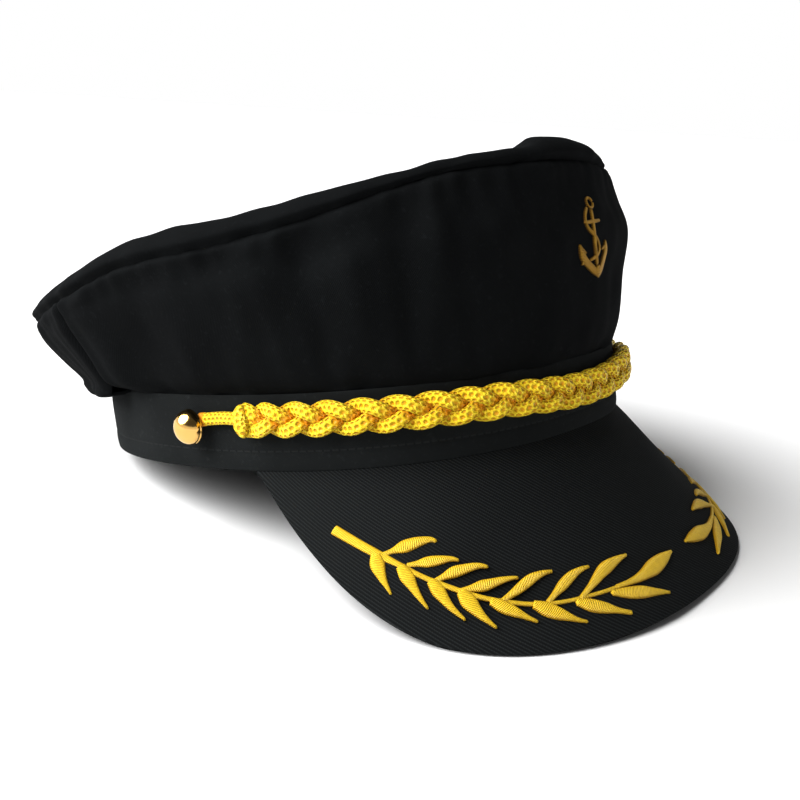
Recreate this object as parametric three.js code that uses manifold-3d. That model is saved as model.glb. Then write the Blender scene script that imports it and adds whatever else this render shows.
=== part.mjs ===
// Captain hat: a soft crown on a round band, a sloping peak, a plaited cord held by two
// buttons, an embroidered anchor on the front and a laurel branch on each side of the peak.
// Millimetres, +Z up. The wearer looks along -Y and the wearer's right hand is at -X.
// Everything is shaped in the hat's own frame, with the band's bottom edge near z = 0, and
// then tipped onto the surface that it rests on: the back of the band and the peak's edge.
import * as THREE from 'three';
import { mergeVertices } from 'three/addons/utils/BufferGeometryUtils.js';
import Module from 'manifold-3d';

const wasm = await Module();
wasm.setup();

// Band
const band_length = 208; // outside, front to back
const band_width = 172; // outside, side to side
const band_height = 24;
const band_wall = 2.2;
const band_belly = 0.5; // how far the middle of the band stands out
const band_dip = 1.5; // how much lower its bottom edge lies at the sides
const oval_fullness = 2.3; // 2 is a true ellipse, and more is squarer

// Crown
const crown_wall = 1.8;
const crown_height = 66; // rim seam above the band, at the front
const crown_overhang = 25; // rim seam beyond the band, at the back
const crown_roll = 8; // the top panel's rolled edge above the rim seam
const crown_fold = 3.4; // depth of the deepest fold in the cloth
const crown_lip = 5; // how far the back panel hangs over the band
const crown_sag = 2.5; // how far the top panel sinks in its middle
const crown_step = 0.2; // how far the side panel's foot stands out from the band's top edge
const back_seam_turn = 107.5; // degrees from the front to the seams of the back panel

// Peak
const peak_length = 65.6; // down its slope, at the middle
const peak_wall = 2;
const peak_edge = 0.8; // how far the rounded edge draws in below
const peak_end_turn = 75.9; // degrees from the front to its ends
const peak_end_length = 1; // down its slope, at its ends
const peak_slope = 53.5; // degrees below level, at the middle
const peak_slope_ends = 43.5; // the same where it would meet the sides
const peak_aim = 0.59; // how far its slope lines turn outwards, for each degree of turn
const peak_fullness = 3.24; // how long the peak keeps its length before it tapers
const peak_taper = 1.18;

// Plaited cord and its buttons
const cord_width = 4.2; // the cord is flat knitted and lies broadside on
const cord_depth = 2.7;
const plait_width = 12.8; // over the three strands
const plait_clearance = 0.85; // between strands where they cross
const plait_repeat_length = 31.8; // from one strand's crossing to its next alike
const plait_height = 16.2; // middle of the plait above the band's bottom edge, at the sides
const plait_dip = 2.4; // how much lower it hangs at the front
const plait_dip_width = 16; // degrees
const plait_end_turn = 76.2;
const button_diameter = 12;
const button_dome = 5;
const button_rim = 0.8;
const shank_diameter = 4.4;
const shank_length = 3.2;
const button_turn = 87.5;
const button_height = 13.7;

// Embroidery
const thread_height = 1.2;
const anchor_height = 25.5;
const anchor_width = 18;
const anchor_place = 0.58; // its middle's height on the crown, as a share of crown_height
const anchor_shift = 6.7; // towards the wearer's left
const anchor_lean = 5; // degrees
const branch_length = 112; // along the peak, from the middle to the foot of the stem
const left_branch_shift = 9; // how much farther from the middle the left branch's tip lies
const stem_width = 2.2;
const leaf_width = 4.8;

// Fits
const seam_gap = 0.35; // between pieces that are sewn together
const thread_gap = 0.5; // between embroidery and the cloth under it
const rest_flat = 0.4; // how deep the cloth is flattened where the hat rests

// How fine the meshes are
const side_steps = 52;
const back_steps = 18;
const top_steps = 44;
const band_steps = 44;
const peak_steps = 36;
const cord_sides = 6;
const steps_per_repeat = 12;
const loop_steps = 6;
const button_sides = 14;

const black_cotton = { color: 0x17181a, roughness: 0.92, metalness: 0 };
const black_twill = { color: 0x1a1b1d, roughness: 0.9, metalness: 0 };
const gold_cord = { color: 0xd9a227, roughness: 0.55, metalness: 0.1 };
const gold_thread = { color: 0xdfae35, roughness: 0.5, metalness: 0.1 };
const brass = { color: 0xd6a63c, roughness: 0.22, metalness: 1 };

const half_turn = 180;

// Crown sections, from the front (0) to the back (180). rim is the height of the rim seam
// above the band as a share of crown_height, and belly_at that of the fullest part as a share
// of the rim's. The columns named out are shares of crown_overhang, roll is a share of
// crown_roll, and lip of crown_lip.
const crown_sections = [
  { turn: 0, rim: 1, rim_out: 0.02, belly_at: 0.64, belly_out: 0.22, foot_out: 0.11, roll: 1.25, lip: 0 },
  { turn: 15, rim: 0.99, rim_out: 0.03, belly_at: 0.64, belly_out: 0.27, foot_out: 0.11, roll: 0.68, lip: 0 },
  { turn: 30, rim: 0.967, rim_out: 0.08, belly_at: 0.64, belly_out: 0.35, foot_out: 0.11, roll: 0.34, lip: 0 },
  { turn: 45, rim: 0.9, rim_out: 0.22, belly_at: 0.65, belly_out: 0.39, foot_out: 0.12, roll: 0.5, lip: 0 },
  { turn: 60, rim: 0.807, rim_out: 0.42, belly_at: 0.66, belly_out: 0.46, foot_out: 0.13, roll: 0.92, lip: 0 },
  { turn: 75, rim: 0.742, rim_out: 0.58, belly_at: 0.68, belly_out: 0.52, foot_out: 0.16, roll: 1.08, lip: 0 },
  { turn: 90, rim: 0.697, rim_out: 0.72, belly_at: 0.7, belly_out: 0.61, foot_out: 0.2, roll: 1.1, lip: 0 },
  { turn: 105, rim: 0.57, rim_out: 0.86, belly_at: 0.7, belly_out: 0.73, foot_out: 0.3, roll: 1.15, lip: 0.1 },
  { turn: 120, rim: 0.47, rim_out: 0.97, belly_at: 0.7, belly_out: 0.84, foot_out: 0.4, roll: 1.15, lip: 0.7 },
  { turn: 135, rim: 0.4, rim_out: 1, belly_at: 0.69, belly_out: 0.87, foot_out: 0.43, roll: 1.1, lip: 1 },
  { turn: 150, rim: 0.356, rim_out: 1, belly_at: 0.68, belly_out: 0.87, foot_out: 0.44, roll: 1.05, lip: 1 },
  { turn: 165, rim: 0.333, rim_out: 0.99, belly_at: 0.68, belly_out: 0.85, foot_out: 0.44, roll: 1, lip: 1 },
  { turn: 180, rim: 0.326, rim_out: 0.98, belly_at: 0.68, belly_out: 0.84, foot_out: 0.44, roll: 1, lip: 1 },
];

// Folds of the slack cloth. turn and width are degrees, from and to are shares of the panel's
// height there, and depth is a share of crown_fold, in (-) or out (+).
const crown_folds = [
  { turn: 35, width: 3.6, from: 0.3, to: 1.05, depth: 0.5 },
  { turn: 41, width: 3.2, from: 0.35, to: 1.05, depth: -0.6 },
  { turn: 50, width: 4.5, from: 0.45, to: 1.0, depth: 0.45 },
  { turn: 58, width: 4.5, from: 0.25, to: 0.9, depth: -0.95 },
  { turn: 66, width: 4.5, from: 0.5, to: 1.05, depth: 0.55 },
  { turn: 78, width: 5, from: 0.4, to: 1.0, depth: -0.4 },
  { turn: 94, width: 4, from: -0.05, to: 0.5, depth: -0.6 },
  { turn: 101, width: 3, from: 0.0, to: 1.0, depth: 0.6 },
  { turn: 112, width: 3, from: 0.1, to: 0.95, depth: 0.5 },
  { turn: 124, width: 6, from: 0.05, to: 0.6, depth: -1.0 },
  { turn: 150, width: 8, from: 0.1, to: 0.7, depth: -0.6 },
  { turn: -38, width: 4, from: 0.3, to: 1.0, depth: -0.5 },
  { turn: -52, width: 5, from: 0.4, to: 1.0, depth: 0.5 },
  { turn: -64, width: 5, from: 0.25, to: 0.95, depth: -0.8 },
  { turn: -82, width: 6, from: 0.4, to: 1.0, depth: 0.4 },
  { turn: -97, width: 4, from: 0.0, to: 0.6, depth: -0.5 },
  { turn: -118, width: 6, from: 0.05, to: 0.7, depth: -0.8 },
  { turn: -146, width: 7, from: 0.2, to: 0.8, depth: 0.5 },
];

// The rolled edge of the top panel in section: out and up from the rim seam, as shares of
// the roll's height there.
const roll_outline = [
  { out: 0, up: 0 },
  { out: -0.02, up: 0.28 },
  { out: -0.3, up: 0.62 },
  { out: -0.75, up: 0.88 },
  { out: -1.5, up: 1.0 },
];

// Leaves of one laurel branch, in pairs from the foot up: where each pair leaves the stem and
// where the tips of its upper and lower leaf lie. The columns named along are shares of
// branch_length, from the middle of the peak, and those named down are shares of peak_length.
const stem_foot = { along: 1.003, down: 0.315 };
const leaf_pairs = [
  { along: 0.915, down: 0.448, upper_along: 0.713, upper_down: 0.419, lower_along: 0.878, lower_down: 0.655 },
  { along: 0.851, down: 0.523, upper_along: 0.672, upper_down: 0.514, lower_along: 0.797, lower_down: 0.734 },
  { along: 0.775, down: 0.601, upper_along: 0.604, upper_down: 0.56, lower_along: 0.722, lower_down: 0.797 },
  { along: 0.71, down: 0.66, upper_along: 0.545, upper_down: 0.637, lower_along: 0.659, lower_down: 0.852 },
  { along: 0.631, down: 0.735, upper_along: 0.439, upper_down: 0.639, lower_along: 0.552, lower_down: 0.868 },
  { along: 0.528, down: 0.771, upper_along: 0.324, upper_down: 0.662, lower_along: 0.433, lower_down: 0.91 },
  { along: 0.431, down: 0.803, upper_along: 0.176, upper_down: 0.671, lower_along: 0.286, lower_down: 0.928 },
  { along: 0.317, down: 0.805, upper_along: 0.022, upper_down: 0.755, lower_along: 0.117, lower_down: 0.915 },
];

function radians(degrees) {
  return degrees * Math.PI / half_turn;
}

// A point of the band's oval, grown outwards all round by out.
function oval(turn, out, height) {
  const along = Math.cos(radians(turn));
  const across = Math.sin(radians(turn));
  const power = 2 / oval_fullness;
  const x = -(band_width / 2 + out) * Math.sign(across) * Math.abs(across) ** power;
  const y = -(band_length / 2 + out) * Math.sign(along) * Math.abs(along) ** power;
  return new THREE.Vector3(x, y, height);
}

function range(count, from, to) {
  return Array.from({ length: count + 1 }, (_, i) => from + (to - from) * i / count);
}

// A column of a table of evenly turned rows, read at any turn by a smooth curve. Both sides
// of the hat are alike, so the rows are mirrored at the front and at the back.
function read(rows, column, turn) {
  const last = rows.length - 1;
  const wrapped = Math.abs(turn - 2 * half_turn * Math.round(turn / (2 * half_turn)));
  const place = wrapped / (rows[1].turn - rows[0].turn);
  const start = Math.min(Math.floor(place), last - 1);
  const share = place - start;
  const row = (i) => rows[last - Math.abs(last - Math.abs(i))][column];
  const [before, from, to, after] = [-1, 0, 1, 2].map((step) => row(start + step));
  const rise = to - before;
  const next = after - from;
  const bend = share * share * (3 - 2 * share);
  return from + (to - from) * bend
    + (rise * (1 - share) - next * share) * share * (1 - share) / 2;
}

// A smooth hill, 1 at the middle and close to 0 beyond two widths.
function hill(distance, width) {
  return Math.exp(-((distance / width) ** 2));
}

// 1 between from and to, easing to 0 within edge of each.
function between(value, from, to, edge) {
  return THREE.MathUtils.smoothstep(value, from - edge, from + edge)
    * (1 - THREE.MathUtils.smoothstep(value, to - edge, to + edge));
}

function fold_out(turn, share) {
  const fold_edge = 0.16;
  return crown_folds.reduce((out, fold) => {
    const away = turn - fold.turn - 2 * half_turn * Math.round((turn - fold.turn) / (2 * half_turn));
    const reach = between(share, fold.from, fold.to, fold_edge);
    return out + crown_fold * fold.depth * hill(away, fold.width) * reach;
  }, 0);
}

// A mesh from points and triangles, with its faces turned outwards.
function closed_geometry(points, faces) {
  const volume = faces.reduce((sum, [a, b, c]) => {
    return sum + points[a].dot(new THREE.Vector3().crossVectors(points[b], points[c]));
  }, 0);
  const outward = volume < 0 ? faces.map(([a, b, c]) => [a, c, b]) : faces;
  const geometry = new THREE.BufferGeometry().setFromPoints(points);
  geometry.setIndex(outward.flat());
  return geometry;
}

function join_rings(faces, first, second, count) {
  for (let i = 0; i < count; i += 1) {
    const next = (i + 1) % count;
    faces.push([first + i, first + next, second + next]);
    faces.push([first + i, second + next, second + i]);
  }
}

// A solid through closed sections with as many points each, either closed into a loop or
// ended by the flat outlines of its first and last section.
function loft(sections, end_outlines) {
  const size = sections[0].length;
  const faces = [];
  for (let i = 0; i + 1 < sections.length; i += 1) {
    join_rings(faces, i * size, (i + 1) * size, size);
  }
  const last = (sections.length - 1) * size;
  if (end_outlines) {
    const [first_end, last_end] = end_outlines.map((outline) => THREE.ShapeUtils.triangulateShape(outline, []));
    first_end.forEach(([a, b, c]) => faces.push([a, b, c]));
    last_end.forEach(([a, b, c]) => faces.push([last + a, last + c, last + b]));
    return consistent_geometry(sections.flat(), faces);
  }
  join_rings(faces, last, 0, size);
  return closed_geometry(sections.flat(), faces);
}

// The ends of a loft may be triangulated in either direction, so each end face is turned to
// run against the wall's edge that it meets.
function consistent_geometry(points, faces) {
  const wall_edges = new Set();
  const key = (a, b) => `${a},${b}`;
  return closed_geometry(points, faces.map(([a, b, c]) => {
    const edges = [[a, b], [b, c], [c, a]];
    const clash = edges.some(([from, to]) => wall_edges.has(key(from, to)));
    const face = clash ? [a, c, b] : [a, b, c];
    [[face[0], face[1]], [face[1], face[2]], [face[2], face[0]]].forEach(([from, to]) => {
      wall_edges.add(key(from, to));
    });
    return face;
  }));
}

function to_solid(geometry) {
  const bare = geometry.clone();
  bare.deleteAttribute('normal');
  bare.deleteAttribute('uv');
  const merged = mergeVertices(bare, 1e-4);
  return new wasm.Manifold(new wasm.Mesh({
    numProp: 3,
    vertProperties: new Float32Array(merged.attributes.position.array),
    triVerts: new Uint32Array(merged.index.array),
  }));
}

function to_geometry(solid) {
  const mesh = solid.getMesh();
  const geometry = new THREE.BufferGeometry();
  geometry.setAttribute('position', new THREE.BufferAttribute(mesh.vertProperties, 3));
  geometry.setIndex(new THREE.BufferAttribute(mesh.triVerts, 1));
  return geometry;
}

// The crown's cloth in section at a turn, from the band up to the rim seam. Its points hold
// the distance out from the band's oval and the height. The back panel starts at the hem of
// the lip that it hangs over the band.
function crown_profile(turn, with_lip) {
  const rim = crown_height * read(crown_sections, 'rim', turn);
  const belly_at = read(crown_sections, 'belly_at', turn);
  const out = (column) => crown_overhang * read(crown_sections, column, turn);
  const foot_at = 0.12;
  const base = band_height + seam_gap;
  const top = band_height + rim - seam_gap;
  const level = (share) => base + (top - base) * share;
  const point = (share, distance) => new THREE.Vector2(distance + fold_out(turn, share), level(share));
  const start = with_lip ? lip_points(turn, out('foot_out')) : [new THREE.Vector2(crown_step, base)];
  return new THREE.SplineCurve([
    ...start,
    point(foot_at, out('foot_out')),
    point((foot_at + belly_at) / 2, (out('foot_out') + out('belly_out')) / 2),
    point(belly_at, out('belly_out')),
    point((belly_at + 1) / 2, (out('belly_out') * 1.1 + out('rim_out')) / 2.1),
    new THREE.Vector2(out('rim_out'), top),
  ]);
}

const lip_out = band_belly + seam_gap;

// The lip from its hem beside the band to its fullest part.
function lip_points(turn, foot_out) {
  const lip = crown_lip * Math.max(read(crown_sections, 'lip', turn), 0.1);
  const hem = band_height - lip;
  const full = Math.max(foot_out, lip_out + 2 * crown_wall);
  return [
    new THREE.Vector2(lip_out + crown_wall * 0.6, hem),
    new THREE.Vector2(lip_out + (full - lip_out) * 0.72, hem + lip * 0.18),
    new THREE.Vector2(full * 0.98, band_height),
  ];
}

// A point of a flat curve, moved by wall to its inner side.
function inner_point(curve, share, wall) {
  const tangent = curve.getTangent(share);
  return curve.getPoint(share).add(new THREE.Vector2(-tangent.y, tangent.x).multiplyScalar(wall));
}

// A panel's wall, as flat outlines that run up its outside and down its inside. Both rims of
// the wall are level, so that they meet their neighbours squarely.
function crown_panel(turns, with_lip) {
  const outer_rows = range(with_lip ? 12 : 11, 0, 1);
  const outline = (turn) => {
    const curve = crown_profile(turn, with_lip);
    const outer = outer_rows.map((share) => curve.getPoint(share));
    const seat = band_height + seam_gap;
    const inner_start = with_lip ? 0.4 : 0;
    const inner = range(5, 1, inner_start).map((share) => inner_point(curve, share, crown_wall));
    inner[0].y = outer.at(-1).y;
    if (!with_lip) {
      inner.at(-1).y = seat;
      return [...outer, ...inner];
    }
    return [
      new THREE.Vector2(lip_out, seat),
      new THREE.Vector2(lip_out, outer[0].y),
      ...outer,
      ...inner,
      new THREE.Vector2(-crown_wall, seat + crown_wall),
      new THREE.Vector2(-crown_wall, seat),
    ];
  };
  const outlines = turns.map(outline);
  const sections = outlines.map((points, i) => points.map((p) => oval(turns[i], p.x, p.y)));
  return loft(sections, [outlines[0], outlines.at(-1)]);
}

function crown_side() {
  const end = back_seam_turn - turn_over(seam_gap / 2, back_seam_turn);
  return crown_panel(range(side_steps, -end, end), false);
}

function crown_back() {
  const end = back_seam_turn + turn_over(seam_gap / 2, back_seam_turn);
  return crown_panel(range(back_steps, end, 2 * half_turn - end), true);
}

// The turn that covers a short length along the band, next to another turn.
function turn_over(length, turn) {
  return length / oval(turn, 0, 0).distanceTo(oval(turn + 1, 0, 0));
}

// The top panel: its rolled edge follows the rim seam, and its middle lies slack on the
// slanted plane through the edge's front and back.
function crown_top() {
  const turns = range(top_steps, 0, 2 * half_turn).slice(0, -1);
  const edge = (turn) => {
    const roll = crown_roll * read(crown_sections, 'roll', turn);
    const out = crown_overhang * read(crown_sections, 'rim_out', turn);
    const seam = band_height + crown_height * read(crown_sections, 'rim', turn) + seam_gap / 2;
    return roll_outline.map((row) => new THREE.Vector2(out + roll * row.out, seam + roll * row.up));
  };
  const front_edge = edge(0).at(-1);
  const back_edge = edge(half_turn).at(-1);
  const front_reach = band_length / 2 + front_edge.x;
  const back_reach = band_length / 2 + back_edge.x;
  const middle = (front_edge.y * back_reach + back_edge.y * front_reach) / (front_reach + back_reach);
  const flat_point = (turn, share, sink) => {
    const last = edge(turn).at(-1);
    const point = oval(turn, last.x, 0).multiplyScalar(share);
    const sag = crown_sag * (1 - share * share);
    point.z = THREE.MathUtils.lerp(middle, last.y, share) - sag - sink;
    return point;
  };
  const rings = [];
  [0.3, 0.58, 0.82].forEach((share) => rings.push(turns.map((turn) => flat_point(turn, share, 0))));
  [1, 0.72, 0.46, 0.22, 0].forEach((share) => {
    rings.push(turns.map((turn) => {
      const point = new THREE.SplineCurve(edge(turn)).getPoint(share);
      return oval(turn, point.x, point.y);
    }));
  });
  [0, 0.35, 0.7].forEach((share) => {
    rings.push(turns.map((turn) => {
      const point = inner_point(new THREE.SplineCurve(edge(turn)), share, crown_wall);
      return oval(turn, point.x, share > 0 ? point.y : edge(turn)[0].y);
    }));
  });
  [0.9, 0.6, 0.3].forEach((share) => rings.push(turns.map((turn) => flat_point(turn, share, crown_wall))));
  const points = rings.flat();
  const faces = [];
  const count = turns.length;
  for (let i = 0; i + 1 < rings.length; i += 1) {
    join_rings(faces, i * count, (i + 1) * count, count);
  }
  const top_middle = points.push(flat_point(0, 0, 0)) - 1;
  const bottom_middle = points.push(flat_point(0, 0, crown_wall)) - 1;
  const last_ring = (rings.length - 1) * count;
  for (let i = 0; i < count; i += 1) {
    const next = (i + 1) % count;
    faces.push([top_middle, next, i]);
    faces.push([bottom_middle, last_ring + i, last_ring + next]);
  }
  return closed_geometry(points, faces);
}

function band_bottom(turn) {
  return -band_dip * Math.sin(radians(turn)) ** 2;
}

function band() {
  const turns = range(band_steps, 0, 2 * half_turn).slice(0, -1);
  return loft(turns.map((turn) => {
    const bottom = band_bottom(turn);
    const middle = (bottom + band_height) / 2;
    return [
      oval(turn, 0, bottom),
      oval(turn, band_belly, middle),
      oval(turn, 0, band_height),
      oval(turn, -band_wall, band_height),
      oval(turn, band_belly - band_wall, middle),
      oval(turn, -band_wall, bottom),
    ];
  }));
}

// How far the peak reaches down its slope at a turn.
function peak_reach(turn) {
  const share = Math.min(Math.abs(turn) / peak_end_turn, 1);
  return peak_length * Math.cos(Math.PI / 2 * share ** peak_fullness) ** peak_taper;
}

// A point on the top of the peak, down its slope by a distance from the band's edge.
function peak_point(turn, down) {
  const side = Math.sin(radians(turn)) ** 2;
  const slope = radians(THREE.MathUtils.lerp(peak_slope, peak_slope_ends, side));
  const aim = radians(turn) * peak_aim;
  const direction = new THREE.Vector3(
    -Math.sin(aim) * Math.cos(slope),
    -Math.cos(aim) * Math.cos(slope),
    -Math.sin(slope),
  );
  return oval(turn, 0, band_bottom(turn) - seam_gap).addScaledVector(direction, down);
}

// The direction that the peak's top faces at a point.
function peak_normal(turn, down) {
  const step = 0.5;
  const across = peak_point(turn + step, down).sub(peak_point(turn - step, down));
  const along = peak_point(turn, down + step).sub(peak_point(turn, down - step));
  return across.cross(along).normalize();
}

function peak() {
  const turns = range(peak_steps, -1, 1).map((share) => {
    return peak_end_turn * Math.sin(share * Math.PI / 2);
  });
  const down_shares = [0, 0.12, 0.4, 0.7, 0.9, 1];
  const under_shares = [1, 0.8, 0.4, 0];
  const sections = turns.map((turn) => {
    const reach = Math.max(peak_reach(turn), peak_end_length);
    const top = down_shares.map((share) => peak_point(turn, reach * share));
    const under = under_shares.map((share) => {
      const down = Math.max(reach - peak_edge, 0) * share;
      return peak_point(turn, down).addScaledVector(peak_normal(turn, down), -peak_wall);
    });
    const root = oval(turn, -band_wall, band_bottom(turn) - seam_gap);
    const root_under = root.clone();
    root_under.z -= peak_wall;
    return [...top, ...under, root_under, root];
  });
  const flat_end = (section) => section.map((point) => new THREE.Vector2(point.y, point.z));
  return loft(sections, [flat_end(sections[0]), flat_end(sections.at(-1))]);
}

// A flat cord through points beside the band, broadside on to the band.
function cord(points) {
  const route = new THREE.CatmullRomCurve3(points);
  const around = range(cord_sides, 0, 2 * Math.PI).slice(0, -1);
  const sections = range(points.length - 1, 0, 1).map((share) => {
    const middle = route.getPoint(share);
    const ahead = route.getTangent(share);
    const outward = new THREE.Vector3(middle.x / band_width ** 2, middle.y / band_length ** 2, 0);
    const broad = new THREE.Vector3().crossVectors(ahead, outward).normalize();
    const thin = new THREE.Vector3().crossVectors(broad, ahead);
    return around.map((angle) => middle.clone()
      .addScaledVector(broad, cord_width / 2 * Math.cos(angle))
      .addScaledVector(thin, cord_depth / 2 * Math.sin(angle)));
  });
  const end = around.map((angle) => new THREE.Vector2(Math.cos(angle), Math.sin(angle)));
  return loft(sections, [end, end]);
}

// The run along a line round the hat, from the front up to each of many turns.
function run_table(place, end_turn) {
  const steps = 120;
  let run = 0;
  return range(steps, 0, end_turn).map((turn, i, turns) => {
    run += i > 0 ? place(turn).distanceTo(place(turns[i - 1])) : 0;
    return { turn, run };
  });
}

// The turn at which such a run reaches a distance.
function turn_at(table, distance) {
  const run = Math.abs(distance);
  const found = table.findIndex((row) => row.run >= run);
  const next = Math.max(found < 0 ? table.length - 1 : found, 1);
  const share = (run - table[next - 1].run) / (table[next].run - table[next - 1].run);
  return Math.sign(distance) * THREE.MathUtils.lerp(table[next - 1].turn, table[next].turn, share);
}

// The strands' crossings are this far in or out from the middle of the plait. Two strands
// cross where their depths differ by the square root of 3 times it.
const plait_depth = (cord_depth + plait_clearance) / Math.sqrt(3);

// Middle of the plait, out from the band.
const plait_out = band_belly + seam_gap + plait_depth + cord_depth / 2;

// Height of the plait's middle at a turn.
function plait_level(turn) {
  return plait_height - plait_dip * hill(turn, plait_dip_width);
}

// One of the three strands. Each swings up and down once in a repeat and in and out twice.
function plait_strand(index) {
  const sway = (plait_width - cord_width) / 2;
  const table = run_table((turn) => oval(turn, 0, 0), plait_end_turn);
  const end = table.at(-1).run;
  const steps = Math.round(2 * end / plait_repeat_length * steps_per_repeat);
  return cord(range(steps, -end, end).map((run) => {
    const phase = 2 * Math.PI * (run / plait_repeat_length + index / 3);
    const out = plait_out + plait_depth * Math.sin(2 * phase);
    const turn = turn_at(table, run);
    return oval(turn, out, plait_level(turn) + sway * Math.sin(phase));
  }));
}

// The single cord from the plait's end to the shank of its button.
function loop_cord(side) {
  const shank_side = shank_diameter / 2 + 2 * seam_gap;
  const start = plait_end_turn + turn_over(5 * seam_gap, plait_end_turn);
  const end = button_turn - turn_over(shank_side, button_turn);
  const middle = (start + end) / 2;
  const out = band_belly + seam_gap + cord_depth / 2;
  const route = new THREE.CatmullRomCurve3([
    oval(side * start, plait_out, plait_level(start)),
    oval(side * middle, (plait_out + out) / 2, plait_level(middle) + cord_width / 8),
    oval(side * end, out, button_height + cord_width / 2),
  ]);
  return cord(route.getPoints(loop_steps));
}

// A domed button on a short shank, turned about the direction that it faces.
function button(side) {
  const shank = shank_diameter / 2;
  const radius = button_diameter / 2;
  const base = shank_length + button_rim;
  const dome = range(4, 0, 1).map((share) => {
    const angle = share * Math.PI / 2;
    return new THREE.Vector2(radius * Math.cos(angle), base + button_dome * Math.sin(angle));
  });
  dome[4].x = 0;
  const profile = [
    new THREE.Vector2(0, 0),
    new THREE.Vector2(shank, 0),
    new THREE.Vector2(shank, shank_length),
    new THREE.Vector2(radius * 0.92, shank_length),
    ...dome,
  ];
  const geometry = new THREE.LatheGeometry(profile, button_sides);
  const seat = oval(side * button_turn, band_belly + seam_gap, button_height);
  const outward = new THREE.Vector3(-side, 0, 0);
  geometry.applyQuaternion(new THREE.Quaternion().setFromUnitVectors(new THREE.Vector3(0, 1, 0), outward));
  geometry.translate(seat.x, seat.y, seat.z);
  return geometry;
}

// Embroidery is drawn flat, as shapes of thread_height, joined, and then laid on its surface.
function flat_thread(shapes) {
  return shapes.map((shape) => {
    return to_solid(new THREE.ExtrudeGeometry(shape, { depth: thread_height, bevelEnabled: false, curveSegments: 5 }));
  }).reduce((joined, solid) => joined.add(solid));
}

function lay(solid, place) {
  const geometry = to_geometry(solid);
  const position = geometry.attributes.position;
  const point = new THREE.Vector3();
  for (let i = 0; i < position.count; i += 1) {
    point.fromBufferAttribute(position, i);
    const laid = place(point.x, point.y, point.z + thread_gap);
    position.setXYZ(i, laid.x, laid.y, laid.z);
  }
  return geometry;
}

// A strip of changing width along a flat curve.
function strip(curve, steps, width) {
  const left = [];
  const right = [];
  range(steps, 0, 1).forEach((share) => {
    const tangent = curve.getTangent(share);
    const aside = new THREE.Vector2(-tangent.y, tangent.x).multiplyScalar(width(share) / 2);
    left.push(curve.getPoint(share).add(aside));
    right.push(curve.getPoint(share).sub(aside));
  });
  return new THREE.Shape([...left, ...right.reverse()]);
}

// A pointed leaf from its foot to its tip.
function leaf(foot, tip) {
  const width = (share) => leaf_width * Math.max(Math.sin(Math.PI * share ** 0.85), 0.14);
  return strip(new THREE.LineCurve(foot, tip), 4, width);
}

// One laurel branch, flat: x along the peak and y down its slope.
function branch_shapes() {
  const place = (along, down) => new THREE.Vector2(branch_length * along, peak_length * down);
  const feet = leaf_pairs.map((pair) => place(pair.along, pair.down));
  const stem = new THREE.SplineCurve([place(stem_foot.along, stem_foot.down), ...feet]);
  const leaves = leaf_pairs.flatMap((pair, i) => [
    leaf(feet[i], place(pair.upper_along, pair.upper_down)),
    leaf(feet[i], place(pair.lower_along, pair.lower_down)),
  ]);
  return [strip(stem, 9, () => stem_width), ...leaves];
}

// The left branch lies farther from the middle at its tip, and its foot is where the other's is.
function branch_place(side, along) {
  const shifted = 1 - THREE.MathUtils.smoothstep(along, branch_length * 0.3, branch_length);
  return side > 0 ? along : along + left_branch_shift * shifted;
}

function laurel(side) {
  const table = run_table((turn) => peak_point(turn, peak_length / 2), peak_end_turn + 4);
  const geometry = lay(flat_thread(branch_shapes()), (along, down, lift) => {
    const turn = side * turn_at(table, branch_place(side, along));
    return peak_point(turn, down).addScaledVector(peak_normal(turn, down), lift);
  });
  return side < 0 ? flipped(geometry) : geometry;
}

function flipped(geometry) {
  const index = geometry.index.array;
  for (let i = 0; i < index.length; i += 3) {
    [index[i], index[i + 1]] = [index[i + 1], index[i]];
  }
  return geometry;
}

// The anchor, flat: x across and y up from its middle.
function anchor_shapes() {
  const top = anchor_height / 2;
  const half = anchor_width / 2;
  const ring_radius = anchor_height * 0.09;
  const shank_width = anchor_height * 0.085;
  const ring_middle = top - ring_radius;
  const line = (points, steps, width) => {
    return strip(new THREE.SplineCurve(points.map(([x, y]) => new THREE.Vector2(x, y))), steps, width);
  };
  const ring = new THREE.Shape().absarc(0, ring_middle, ring_radius, 0, 2 * Math.PI);
  ring.holes.push(new THREE.Path().absarc(0, ring_middle, ring_radius * 0.5, 0, 2 * Math.PI));
  const shank = line([[0, ring_middle - ring_radius * 0.8], [0, 0], [0, -top * 0.9]], 5, () => shank_width);
  const stock_height = top * 0.4;
  const stock = line([[-half * 0.5, stock_height], [half * 0.5, stock_height]], 4, () => shank_width);
  const arm = (side) => line([
    [0, -top],
    [side * half * 0.45, -top * 0.76],
    [side * half * 0.74, -top * 0.55],
    [side * half * 0.86, -top * 0.3],
  ], 5, (share) => shank_width * (1.5 - 0.5 * share));
  const fluke = (side) => new THREE.Shape([
    new THREE.Vector2(side * half * 0.9, -top * 0.02),
    new THREE.Vector2(side * half, -top * 0.48),
    new THREE.Vector2(side * half * 0.78, -top * 0.4),
    new THREE.Vector2(side * half * 0.46, -top * 0.48),
  ]);
  const rope = line([
    [-half * 0.1, ring_middle - ring_radius * 0.6],
    [half * 0.34, top * 0.42],
    [half * 0.1, top * 0.16],
    [-half * 0.36, -top * 0.06],
    [-half * 0.1, -top * 0.36],
    [half * 0.34, -top * 0.56],
  ], 10, () => shank_width * 0.62);
  return [shank, ring, stock, arm(-1), arm(1), fluke(-1), fluke(1), rope];
}

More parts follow.
